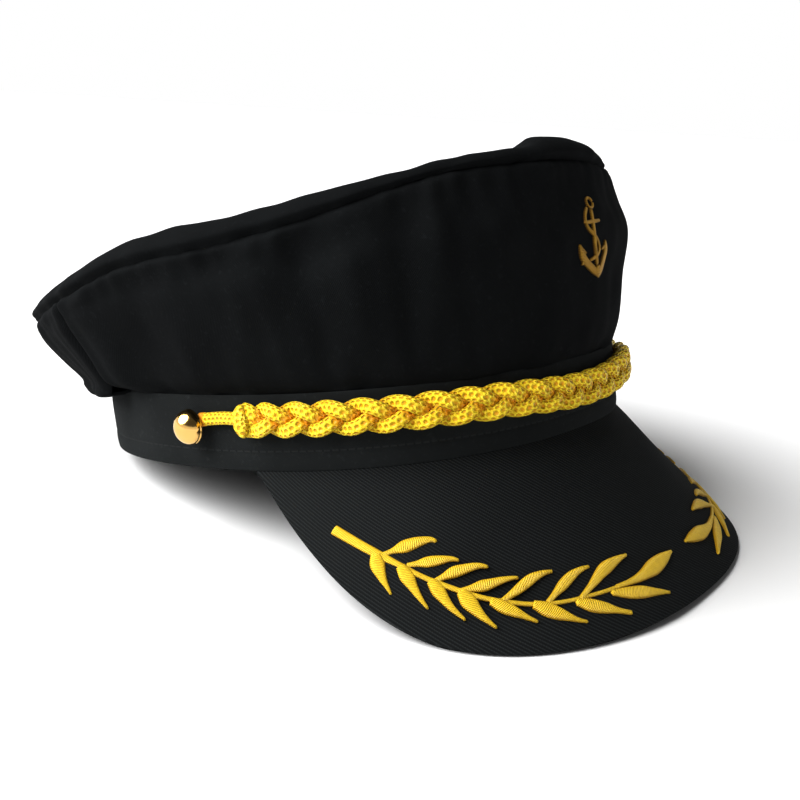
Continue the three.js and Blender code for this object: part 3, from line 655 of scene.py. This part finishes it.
def top_parts(turn):
    """The roll's outline at each turn, from the seam inwards. It is fuller left of the front."""
    swell = 1 + 0.5 * hill(around(turn, -17), 7) - 0.32 * hill(around(turn, 8), 9)
    roll = crown_roll * read("roll", turn) * swell
    out = crown_overhang * read("rim_out", turn)
    seam = band_height + crown_height * read("rim", turn) + seam_gap / 2
    return np.stack([np.stack([out + roll * o, seam + roll * u], axis=-1) for o, u in roll_outline])


front_edge, back_edge = (top_parts(np.array([t]))[-1, 0] for t in (0.0, 180.0))
front_reach, back_reach = (band_length / 2 + edge[0] for edge in (front_edge, back_edge))
top_middle = front_edge[1] * back_reach + back_edge[1] * front_reach
top_middle /= front_reach + back_reach
flat_share, roll_cloth = 0.62, 12


def top_form(across, along):
    turn = 360 * across
    parts = top_parts(turn)
    inner = np.clip(along / flat_share, 0, 1)
    flat = oval(turn, parts[-1, :, 0], 0) * inner[:, None]
    sag = crown_sag * (1 - inner**2)
    run = run_of(around(turn, 0))
    even_edge = band_height + crown_height * read("rim", turn) + 0.8 * crown_roll
    flat[:, 2] = top_middle + (even_edge - top_middle) * inner - sag
    flat[:, 2] += (parts[-1, :, 1] - even_edge) * inner**5
    over = 1 - np.clip((along - flat_share) / (1 - flat_share), 0, 1)
    edge = through(parts, over)
    puff = 0.55 * waves(run, 0 * run, 16, 21) * hill(over - 0.35, 0.3)
    puff = puff + 0.3 * waves(run, 0 * run, 6, 22) * hill(over - 0.12, 0.14)
    rolled = oval(turn, edge[:, 0] + puff, edge[:, 1])
    points = np.where((along < flat_share)[:, None], flat, rolled)
    points[:, 2] += 0.9 * waves(points[:, 0], points[:, 1], 55, 23) * (1 - smooth(along, 0.5, 0.8))
    points[:, 2] += 0.3 * waves(points[:, 0], points[:, 1], 17, 24) * (1 - smooth(along, 0.6, 0.9))
    return points


def top_measures(across, along):
    turn = 360 * across
    way = oval(turn, roll_cloth, 0)
    reach = np.linalg.norm(way, axis=1)
    on_flat = np.clip(along / flat_share, 0, 1)
    on_roll = np.clip((along - flat_share) / (1 - flat_share), 0, 1)
    size = reach * on_flat + roll_cloth * on_roll
    return way[:, 0] / reach * size, way[:, 1] / reach * size


crown_top = lay("crown_top_cloth", 420, 76, top_form, top_measures)
thicken(crown_top, 1.2, 0.3, 1)
finish_piece(crown_top, black_cotton, "black_cotton", "crown_top")

# %% [markdown]
# ## The band
# The band is a stiffened strip covered in the same cotton, closed into a ring. Its lower hem is
# turned up and stitched six millimetres above the edge. Where the hat rests, the cloth is flat.

# %% Band
floor_gap = 0.02


def floor_height(points):
    """Height above the floor of points in the hat's frame, in millimetres."""
    return points[:, 1] * math.sin(lean) + points[:, 2] * math.cos(lean) + lifted


def on_floor(points):
    """Moves what would reach below the floor up onto it."""
    below = np.minimum(floor_height(points) - floor_gap, 0)
    points[:, 2] -= below * math.cos(lean)
    points[:, 1] -= below * math.sin(lean)
    return points


def band_form(across, along):
    turn = 360 * across
    bottom = band_bottom(turn)
    height = bottom + (band_height - bottom) * along
    run = run_of(around(turn, 0))
    up_band = height - bottom
    out = band_belly * np.sin(math.pi * along) ** 0.6
    out = out + 0.16 * waves(run, up_band, 30, 31) * np.sin(math.pi * along)
    out = out - 0.28 * hill(up_band - hem_height, 0.5) + 0.14 * hill(up_band - 3.0, 2.2)
    return on_floor(oval(turn, out, height))


def band_measures(across, along):
    return run_of(180.0) * 2 * (across - 0.5), along * band_height


band = lay("band_cloth", 600, 40, band_form, band_measures)
thicken(band, band_wall, 0.7, 3)
finish_piece(band, band_cotton, "black_cotton", "band")

# %% [markdown]
# ## The peak
# The peak is a curved board covered in twill. It slopes down steeply, and most of all at the
# middle. Its cloth is turned round the board's edge, so the edge is softly round and unstitched.

# %% The peak's form
peak_length, peak_wall = 65.6, 2.0
peak_end_turn, peak_slope, peak_slope_ends, peak_aim = 75.9, 53.5, 43.5, 0.59
peak_fullness, peak_taper = 3.24, 1.18


def peak_reach(turn):
    """How far the peak reaches down its slope."""
    share = np.minimum(np.abs(turn) / peak_end_turn, 1)
    return np.maximum(peak_length * np.cos(math.pi / 2 * share**peak_fullness) ** peak_taper, 1)


def peak_point(turn, down):
    """A point on the peak's top, down its slope from the band."""
    turn, down = np.broadcast_arrays(np.asarray(turn, float), np.asarray(down, float))
    side = np.sin(np.radians(turn)) ** 2
    slope = np.radians(peak_slope + (peak_slope_ends - peak_slope) * side)
    aim = np.radians(turn) * peak_aim
    way = [-np.sin(aim) * np.cos(slope), -np.cos(aim) * np.cos(slope), -np.sin(slope)]
    way = np.stack(way, axis=-1)
    return oval(turn, 0, band_bottom(turn) - seam_gap) + way * down[..., None]


def peak_normal(turn, down):
    """The way that the peak's top faces."""
    across = peak_point(turn + 0.5, down) - peak_point(turn - 0.5, down)
    along = peak_point(turn, down + 0.5) - peak_point(turn, down - 0.5)
    normal = np.cross(across, along)
    return normal / np.linalg.norm(normal, axis=-1, keepdims=True)


peak_turns = np.linspace(0, 79.9, 400)
peak_run = length_of(peak_point(peak_turns, peak_length / 2))


def peak_turn_of(along):
    """The turn at a run along the middle line of the peak."""
    return np.sign(along) * np.interp(np.abs(along), peak_run, peak_turns)


def grid_turn(across):
    """The turns of the peak's grid lines, which are closer together at its ends."""
    return peak_end_turn * np.sin((2 * across - 1) * math.pi / 2)


def peak_form(across, along):
    turn = grid_turn(across)
    tucked = -1.3
    down = tucked + (peak_reach(turn) - tucked) * along
    points = peak_point(turn, down)
    ripple = 0.25 * waves(run_of(turn), down, 45, 41) * smooth(down, 0, 8)
    return on_floor(points + peak_normal(turn, down) * ripple[:, None])


def peak_measures(across, along):
    turn = grid_turn(across)
    return np.sign(turn) * np.interp(np.abs(turn), peak_turns, peak_run), along * peak_reach(turn)


peak = lay("peak_cloth", 280, 100, peak_form, peak_measures)
thicken(peak, peak_wall, 0.85, 4)
peak_points = np.array([vertex.co for vertex in peak.data.vertices]) / MM
peak.data.vertices.foreach_set("co", (on_floor(peak_points) * MM).ravel())
finish_piece(peak, black_twill, "black_twill", "peak")

# %% [markdown]
# ## Cords and threads as tubes
# A cord, a leaf of satin stitch and a winding of thread are all tubes: a section carried along a
# line. The grid's long way follows the line and its short way goes round the section. At both
# ends the section shrinks to a point, so the tube is closed and its ends are round.

# %% A helper that makes a tube along a line


def tube(name, line, outward, wide, deep, steps, sides, measures, square=1.0, ends=0.5, low=None):
    """A closed tube along a line. wide and deep are half sizes across and outwards."""
    run = length_of(line)
    whole = run[-1]

    def at(values, share):
        values = np.asarray(values, dtype=float)
        if values.ndim == 0:
            return np.full(len(share), float(values))
        return np.interp(share, np.linspace(0, 1, len(values)), values)

    def on_line(points, share):
        place = share * whole
        return np.stack([np.interp(place, run, points[:, i]) for i in range(3)], axis=1)

    def form(share, round_share):
        centre = on_line(line, share)
        step = 0.4 / whole
        ahead = on_line(line, np.minimum(share + step, 1))
        ahead -= on_line(line, np.maximum(share - step, 0))
        ahead /= np.linalg.norm(ahead, axis=1, keepdims=True)
        out = on_line(outward, share)
        aside = np.cross(ahead, out)
        aside /= np.linalg.norm(aside, axis=1, keepdims=True)
        out = np.cross(aside, ahead)
        angle = 2 * math.pi * round_share
        cosine, sine = np.cos(angle), np.sin(angle)
        reach = np.minimum(share, 1 - share) * whole
        size = np.sqrt(np.clip(1 - (1 - np.clip(reach / ends, 0, 1)) ** 2, 0, 1))
        side = np.sign(cosine) * np.abs(cosine) ** square * at(wide, share) * size
        lift = np.sign(sine) * np.abs(sine) ** square * at(deep, share) * size
        return centre + aside * side[:, None] + out * lift[:, None]

    def on_tube(share, round_share):
        return measures(share * whole, round_share)

    def low_at(share):
        return np.interp(share * whole, run, low)

    return lay(name, steps, sides, form, on_tube, None if low is None else low_at)


# %% [markdown]
# ## The plait
# Three knitted cords are plaited. In a plait each cord swings up and down once in a repeat, and
# in and out twice, and the three are a third of a repeat apart. At each end two of the cords
# are one cord turned back on itself, and the third goes on alone to the button.

# %% The plait's cords
repeat_length, plait_height, plait_end_turn = 31.8, 16.2, 76.2
plait_dip, plait_dip_width = 2.4, 16.0
strand_wide, strand_deep = 2.45, 1.35
plait_sway, plait_depth = 3.4, 1.65
plait_out = band_belly + plait_depth + strand_deep
plait_end = float(run_of(plait_end_turn))
stitch_length, wales = 2.0, 10


def plait_level(turn):
    """Height of the plait's middle. It hangs lower over the front."""
    return plait_height - plait_dip * hill(turn, plait_dip_width)


def knit_measures(run, round_share):
    return run / stitch_length, round_share * wales


def outward_at(turn):
    """The way out from the band, level."""
    step = oval(turn + 0.2, 0, 0) - oval(turn - 0.2, 0, 0)
    out = np.stack([step[:, 1], -step[:, 0], 0 * step[:, 0]], axis=1)
    out /= np.linalg.norm(out, axis=1, keepdims=True)
    return out * np.sign(np.sum(out * oval(turn, 0, 0), axis=1, keepdims=True))


def strand_swing(run, number):
    """How far out and up a strand is at a run from the front, and how much it comes from under."""
    phase = 2 * math.pi * (run / repeat_length + number / 3)
    from_under = 0.5 - 0.5 * np.sin(2 * phase - math.pi / 3)
    return plait_out + plait_depth * np.sin(2 * phase), plait_sway * np.sin(phase), from_under


def end_order(side):
    """The strands at one end of the plait, from the lowest to the highest."""
    return sorted(range(3), key=lambda number: strand_swing(side * plait_end, number)[1])


ties = {side: dict(zip(end_order(side), (-plait_sway, 0.0, plait_sway))) for side in (1, -1)}
for number in range(3):
    runs = np.linspace(-plait_end, plait_end, 1400)
    out, swing, from_under = strand_swing(runs, number)
    for side in (1, -1):
        near = smooth(side * runs, plait_end - 8, plait_end)
        swing = swing * (1 - near) + ties[side][number] * near
        out = out * (1 - near) + (plait_out - 0.4 - 0.8 * (ties[side][number] == 0)) * near
    turns = turn_of(runs)
    line = oval(turns, out, plait_level(turns) + swing)
    strand = tube(f"plait_cord_{number + 1}", line, outward_at(turns), strand_wide, strand_deep,
                  900, 28, knit_measures, square=0.75, ends=1.2, low=from_under)
    finish_piece(strand, gold_cord, "gold_cord", f"plait_strand_{number + 1}")

# %% [markdown]
# ## The turned ends, the single cords and their whippings
# The turned end is half a ring that joins the upper and the lower cord. The single cord comes out
# of its middle and goes to the button, where a few turns of orange thread bind it.

# %% Ends of the plait
button_turn, button_height = 87.5, 13.7
shank_radius = 2.2
bight_widths = (2.2, 2.6, 3.0, 2.8, 3.0, 2.5, 2.1)
bound_points = 11
for name, side in (("right", 1), ("left", -1)):
    angle = np.linspace(-math.pi / 2, math.pi / 2, 60)
    runs = plait_end - 2.0 + 2.1 * np.cos(angle)
    out = plait_out + 0.7 + 0.6 * np.cos(angle)
    turns = side * turn_of(runs)
    line = oval(turns, out, plait_level(turns) + 3.9 * np.sin(angle))
    bight = tube(f"plait_turned_end_{name}", line, outward_at(turns), bight_widths, 1.6, 60, 28,
                 knit_measures, square=0.75, ends=1.2)
    finish_piece(bight, gold_cord, "gold_cord")
    button_run = float(run_of(button_turn))
    runs = np.linspace(plait_end - 6, button_run - shank_radius - 0.6, 80)
    share = (runs - runs[0]) / (runs[-1] - runs[0])
    turns = side * turn_of(runs)
    tied = button_height + 2.2
    height = plait_height + (tied - plait_height) * smooth(share, 0.5, 1.0)
    height += 0.5 * np.sin(math.pi * share)
    out = band_belly + seam_gap + 1.5 + (plait_out - 2.6) * (1 - smooth(share, 0.15, 0.7))
    line = oval(turns, out, height)
    single = tube(f"single_cord_{name}", line, outward_at(turns), 2.2, 1.4, 120, 28, knit_measures,
                  square=0.85, ends=0.8)
    finish_piece(single, gold_cord, "gold_cord", f"loop_cord_{name}")
    bound, bound_turns = line[-bound_points:], turns[-bound_points:]
    binding = tube(f"whipping_{name}", bound, outward_at(bound_turns), 2.4, 1.6, 24, 28,
                   lambda run, share: (run, 0.25 + 0 * share), square=0.85, ends=0.7)
    finish_piece(binding, whipping, "gold_cord")

# %% [markdown]
# ## The buttons
# A button is a hollow brass dome with a rolled rim, on a short shank. It is turned from a ball:
# the ball is flattened, cut in half, and its open edge is extruded back into the rim and shank.

# %% Buttons
button_radius, button_dome, button_rim, shank_length = 6.0, 5.0, 0.8, 3.2


def make_button(name, side):
    bpy.ops.object.select_all(action="DESELECT")
    bpy.ops.mesh.primitive_uv_sphere_add(segments=72, ring_count=48, radius=button_radius * MM)
    button = bpy.context.object
    button.name = button.data.name = name
    bpy.ops.object.mode_set(mode="EDIT")
    bpy.ops.mesh.select_all(action="SELECT")
    bpy.ops.transform.resize(value=(1, 1, button_dome / button_radius))
    bpy.ops.mesh.bisect(plane_co=(0, 0, 0), plane_no=(0, 0, 1), clear_inner=True, threshold=1e-7)
    to_shank = shank_radius / (0.55 * 0.93 * 1.03 * button_radius)
    steps = [(1.03, 0.25), (1.0, 0.35), (0.93, 0.2), (0.55, -0.1), (to_shank, 0.05),
             (1.0, shank_length - 0.2)]
    for grow, back_by in steps:
        bpy.ops.mesh.extrude_region_move(TRANSFORM_OT_translate={"value": (0, 0, -back_by * MM)})
        bpy.ops.transform.resize(value=(grow, grow, 1))
    bpy.ops.mesh.edge_face_add()
    bpy.ops.mesh.select_all(action="SELECT")
    bpy.ops.mesh.normals_make_consistent(inside=False)
    bpy.ops.object.mode_set(mode="OBJECT")
    seat = Vector(oval(np.array([side * button_turn]), band_belly + seam_gap, button_height)[0])
    turn = Vector((0, 0, 1)).rotation_difference(Vector((-side, 0, 0))).to_matrix().to_4x4()
    lift = Matrix.Translation((0, 0, (shank_length + button_rim) * MM))
    button.data.transform(Matrix.Translation(seat * MM) @ turn @ lift)
    return button


for name, side in (("right", 1), ("left", -1)):
    button = make_button(f"button_dome_{name}", side)
    finish_piece(button, brass, "brass", f"button_{name}")

# %% [markdown]
# ## The laurels
# Each branch is a stem with eight pairs of leaves in satin stitch. A row is one leaf, as points
# along its middle: the run along the peak, the distance down its slope and the leaf's width
# there, in millimetres. Each leaf is a low, rounded tube.

# %% Laurel drawing
branch_length, left_branch_shift = 112.0, 9.0
upper_leaves = [
    [(95.5, 29.8, 0.9), (90.5, 28.2, 4.1), (85.1, 26.7, 3.7), (81.3, 26.3, 2.4), (79.7, 27.3, 1.2)],
    [(89.3, 34.0, 1.0), (84.7, 33.5, 3.4), (80.1, 33.1, 3.0), (77.2, 33.2, 1.9), (75.5, 34.0, 0.9)],
    [(83.7, 39.3, 1.0), (78.8, 37.5, 3.5), (73.8, 36.5, 2.9), (70.5, 36.3, 2.0), (68.0, 37.1, 1.0)],
    [(78.0, 43.3, 1.2), (71.3, 42.5, 3.5), (66.3, 41.7, 2.7), (63.0, 41.5, 1.7), (60.9, 41.8, 0.9)],
    [(68.2, 47.7, 1.0), (63.0, 45.3, 3.0), (57.6, 42.8, 3.2), (53.4, 41.8, 2.0), (49.8, 41.8, 0.9)],
    [(54.9, 49.8, 1.0), (49.7, 46.8, 3.2), (44.7, 44.4, 3.0), (40.5, 43.4, 1.9), (37.4, 43.3, 1.0)],
    [(45.1, 51.2, 1.0), (39.7, 48.5, 3.2), (33.8, 45.7, 4.0), (27.2, 44.2, 2.5), (21.2, 43.8, 1.0)],
    [(31.3, 51.7, 1.3), (23.0, 51.7, 3.4), (14.7, 50.8, 5.2), (7.2, 49.9, 3.9), (0.5, 49.3, 0.9)],
]
lower_leaves = [
    [(99.0, 29.8, 3.3), (99.5, 33.8, 4.7), (99.2, 37.9, 3.2), (98.6, 41.0, 1.7), (98.1, 43.5, 0.8)],
    [(93.0, 34.0, 3.0), (91.9, 38.8, 4.5), (90.9, 43.3, 3.0), (90.1, 46.0, 1.7), (89.3, 48.3, 0.8)],
    [(85.9, 39.2, 2.8), (84.7, 43.3, 4.2), (83.3, 47.7, 2.9), (82.0, 50.2, 1.7), (80.6, 52.5, 0.8)],
    [(78.8, 43.3, 3.0), (77.6, 47.5, 5.0), (76.2, 51.0, 3.5), (74.8, 53.5, 1.8), (73.3, 55.8, 0.8)],
    [(72.0, 47.3, 2.5), (68.8, 50.0, 4.0), (65.9, 52.3, 3.3), (63.7, 54.2, 1.7), (61.7, 55.8, 0.9)],
    [(60.9, 50.2, 2.5), (57.2, 52.9, 4.7), (53.2, 55.7, 3.8), (50.3, 57.7, 1.8), (47.8, 58.9, 0.9)],
    [(48.4, 52.3, 2.2), (44.3, 54.5, 4.2), (39.7, 56.7, 3.7), (35.9, 58.8, 2.0), (32.7, 60.4, 1.5)],
    [(35.9, 52.7, 1.8), (30.1, 54.5, 3.7), (23.8, 56.2, 4.2), (18.8, 57.9, 2.5), (14.1, 59.8, 1.0)],
]
stem_rows = [
    (110.5, 21.1, 3.3), (105.5, 24.8, 3.0), (100.9, 28.3, 2.8), (93.0, 34.0, 1.9),
    (88.0, 37.9, 1.7), (82.2, 41.5, 1.7), (74.7, 45.7, 1.6), (68.0, 48.3, 1.5),
    (59.7, 50.6, 1.4), (51.3, 51.5, 1.3), (43.0, 51.7, 1.3), (34.7, 51.8, 1.3),
    (29.7, 51.7, 1.4),
]


def curve_through(rows, steps):
    """Many points of a smooth curve through a few rows."""
    rows = np.array(rows, dtype=float)
    return through(np.repeat(rows[:, None], steps, axis=1), np.linspace(0, 1, steps))


def join_pieces(name, pieces):
    """Several pieces of one finish become one object."""
    pick(*pieces)
    bpy.ops.object.join()
    pieces[0].name = pieces[0].data.name = name
    return pieces[0]


def branch_place(side, along):
    """The left branch lies farther from the middle at its tip than the right one."""
    shift = left_branch_shift if side < 0 else 0
    return along + shift * (1 - smooth(along, 0.3 * branch_length, branch_length))


def from_stem(rows):
    """An upper leaf's line with a step back, so that its foot lies on the stem."""
    (first, second, width), (third, fourth, _width) = rows[:2]
    back_by = 2.0 / math.hypot(third - first, fourth - second)
    foot = (first - (third - first) * back_by, second - (fourth - second) * back_by, 1.5)
    return [foot, (first, second, max(width, 2.0)), *rows[1:]]


def stitched(name, rows, cloth_at, lift, steps=40, ends=0.5):
    """A raised bar of satin stitch along a drawn line. cloth_at gives the cloth and its facing."""
    first, second, width = curve_through(rows, 60).T
    line, outward = cloth_at(first, second)
    height = 0.25 + lift * np.clip(width / 4, 0, 1) ** 0.6
    return tube(name, line + outward * 0.15, outward, np.maximum(width, 0.5) / 2, height, steps, 24,
                lambda run, round_share: (run, round_share), square=0.75, ends=ends)


for name, side in (("right", 1), ("left", -1)):
    def peak_at(along, down, side=side):
        turn = side * peak_turn_of(branch_place(side, along))
        return peak_point(turn, down), peak_normal(turn, down)

    leaves = [*map(from_stem, upper_leaves), *lower_leaves]
    parts = [stitched("stem", stem_rows, peak_at, 0.6, 200, 0.3)]
    parts += [stitched("leaf", rows, peak_at, 0.8) for rows in leaves]
    laurel = join_pieces(f"laurel_thread_{name}", parts)
    finish_piece(laurel, gold_thread, "gold_thread", f"laurel_{name}")

# %% [markdown]
# ## The anchor
# The anchor is the traditional fouled one: a ring, a stock, a barbed head and a rope that winds
# down the shank. It is worked in duller metallic thread, leaning a little, on the crown's front.

# %% Anchor
anchor_shift, anchor_middle, anchor_lean = 9.1, 62.4, math.radians(5)


def crown_facing(turn, share):
    """Points on the crown's side, and the way that it faces there."""
    def point(turns, shares):
        return side_form[0]((turns / side_end + 1) / 2, shares)

    across = point(turn - 0.6, share) - point(turn + 0.6, share)
    rise_way = point(turn, share + 0.012) - point(turn, share - 0.012)
    normal = np.cross(across, rise_way)
    normal /= np.linalg.norm(normal, axis=1, keepdims=True)
    return point(turn, share), normal * np.sign(-normal[:, 1:2])


def anchor_place(across, rise_by):
    """Where points of the flat drawing lie on the crown, and the way that it faces there."""
    x = anchor_shift + across * math.cos(anchor_lean) - rise_by * math.sin(anchor_lean)
    height = anchor_middle + rise_by * math.cos(anchor_lean) + across * math.sin(anchor_lean)
    turn, share = np.zeros(len(x)), np.full(len(x), 0.6)
    for _ in range(30):
        point, _facing = crown_facing(turn, share)
        turn = turn + (point[:, 0] - x) * 0.45
        share = np.clip(share + (height - point[:, 2]) * 0.011, 0.02, 0.98)
    return crown_facing(turn, share)


anchor_rows = {
    "shank": [(-0.1, 10.4, 1.5), (-1.6, 6.0, 1.7), (-2.1, 1.4, 1.7), (-2.2, -1.9, 1.7),
              (-1.8, -5.3, 1.7), (-1.4, -8.4, 1.7)],
    "stock": [(-7.2, 6.6, 1.1), (-2.3, 6.2, 1.5), (3.1, 6.0, 1.2)],
    "arm_right": [(-0.6, -12.1, 1.6), (-3.1, -10.0, 2.8), (-6.3, -7.4, 2.9), (-8.9, -4.9, 3.2),
                  (-10.1, -2.4, 3.2), (-11.3, 0.0, 0.9)],
    "barb_right": [(-10.0, -1.9, 1.8), (-7.0, -3.5, 0.7)],
    "heel_right": [(-8.5, -5.9, 1.8), (-10.3, -7.0, 0.7)],
    "arm_left": [(-0.6, -12.1, 1.6), (1.2, -10.0, 3.1), (3.3, -7.9, 3.2), (5.3, -5.5, 3.0),
                 (6.0, -3.2, 3.2), (6.1, -0.8, 0.9)],
    "barb_left": [(5.5, -3.0, 1.8), (2.2, -3.6, 0.7)],
    "crown": [(-1.5, -8.4, 2.4), (-1.0, -10.4, 4.2), (-0.7, -12.9, 0.8)],
    "rope": [(-2.4, 11.2, 1.2), (-5.0, 9.1, 1.3), (-6.1, 6.6, 1.4), (-4.8, 4.2, 1.4),
             (-2.5, 2.1, 1.4), (-0.4, -0.4, 1.4), (0.4, -2.7, 1.4), (-0.6, -4.7, 1.4),
             (-3.2, -5.7, 1.4), (-5.5, -6.3, 1.1)],
}
ring_turns = np.linspace(0, 2 * math.pi, 13)
anchor_rows["ring"] = [(0.6 + 1.9 * math.cos(t), 12.3 + 1.7 * math.sin(t), 1.0) for t in ring_turns]
anchor_parts = [stitched(part, rows, anchor_place, 0.55, 40, 0.4)
                for part, rows in anchor_rows.items()]
anchor = join_pieces("anchor_embroidery", anchor_parts)
finish_piece(anchor, anchor_thread, "gold_thread", "anchor")

# %% [markdown]
# ## Floor and light
# The hat stands on a wide pale floor. One broad soft light shines from the left and from above, as
# through a diffuser, so the front of the hat falls into shade. The surroundings are white near the
# horizon, which is all that the camera sees of them, and dimmer above. A little contrast is added,
# as in product photographs.

# %% Floor, lamps and surroundings
bpy.ops.object.select_all(action="DESELECT")
bpy.ops.mesh.primitive_plane_add(size=80, location=(0, 0, 0))
floor = bpy.context.object
floor.name = "floor"
paper = Finish("pale_floor")
paper_colour = paper.tint(paper.cloud(0.05, 2.0, 1.0), (0.86, 0.86, 0.86), (0.88, 0.88, 0.88))
floor.data.materials.append(paper.done(paper_colour, 0.9))
facing_camera = (set_down.to_3x3() @ back).normalized()
side_way = (set_down.to_3x3() @ right).normalized()
light = bpy.data.lights.new("soft_light", "SUN")
light.energy, light.angle = 6.8, math.radians(60)
lamp = bpy.data.objects.new("soft_light", light)
scene.collection.objects.link(lamp)
to_front, to_left, to_sky = 0.14, 0.97, 0.85
toward = facing_camera * to_front - side_way * to_left + Vector((0, 0, to_sky))
lamp.rotation_euler = toward.to_track_quat("Z", "Y").to_euler()
world = bpy.data.worlds.new("pale_room")
scene.world = world
world.use_nodes = True
net = world.node_tree
place = net.nodes.new("ShaderNodeTexCoord")
parts = net.nodes.new("ShaderNodeSeparateXYZ")
fall = net.nodes.new("ShaderNodeMapRange")
fall.interpolation_type = "SMOOTHSTEP"
white_below, dim_above, white, dim = 0.18, 0.34, 1.0, 0.11
for socket, value in zip(fall.inputs[1:5], (white_below, dim_above, white, dim)):
    socket.default_value = value
net.links.new(place.outputs["Generated"], parts.inputs[0])
net.links.new(parts.outputs["Z"], fall.inputs[0])
net.links.new(fall.outputs[0], net.nodes["Background"].inputs[1])
net.nodes["Background"].inputs[0].default_value = (1, 1, 1, 1)
scene.view_settings.gamma = 0.8
scene.view_settings.view_transform = "Standard"
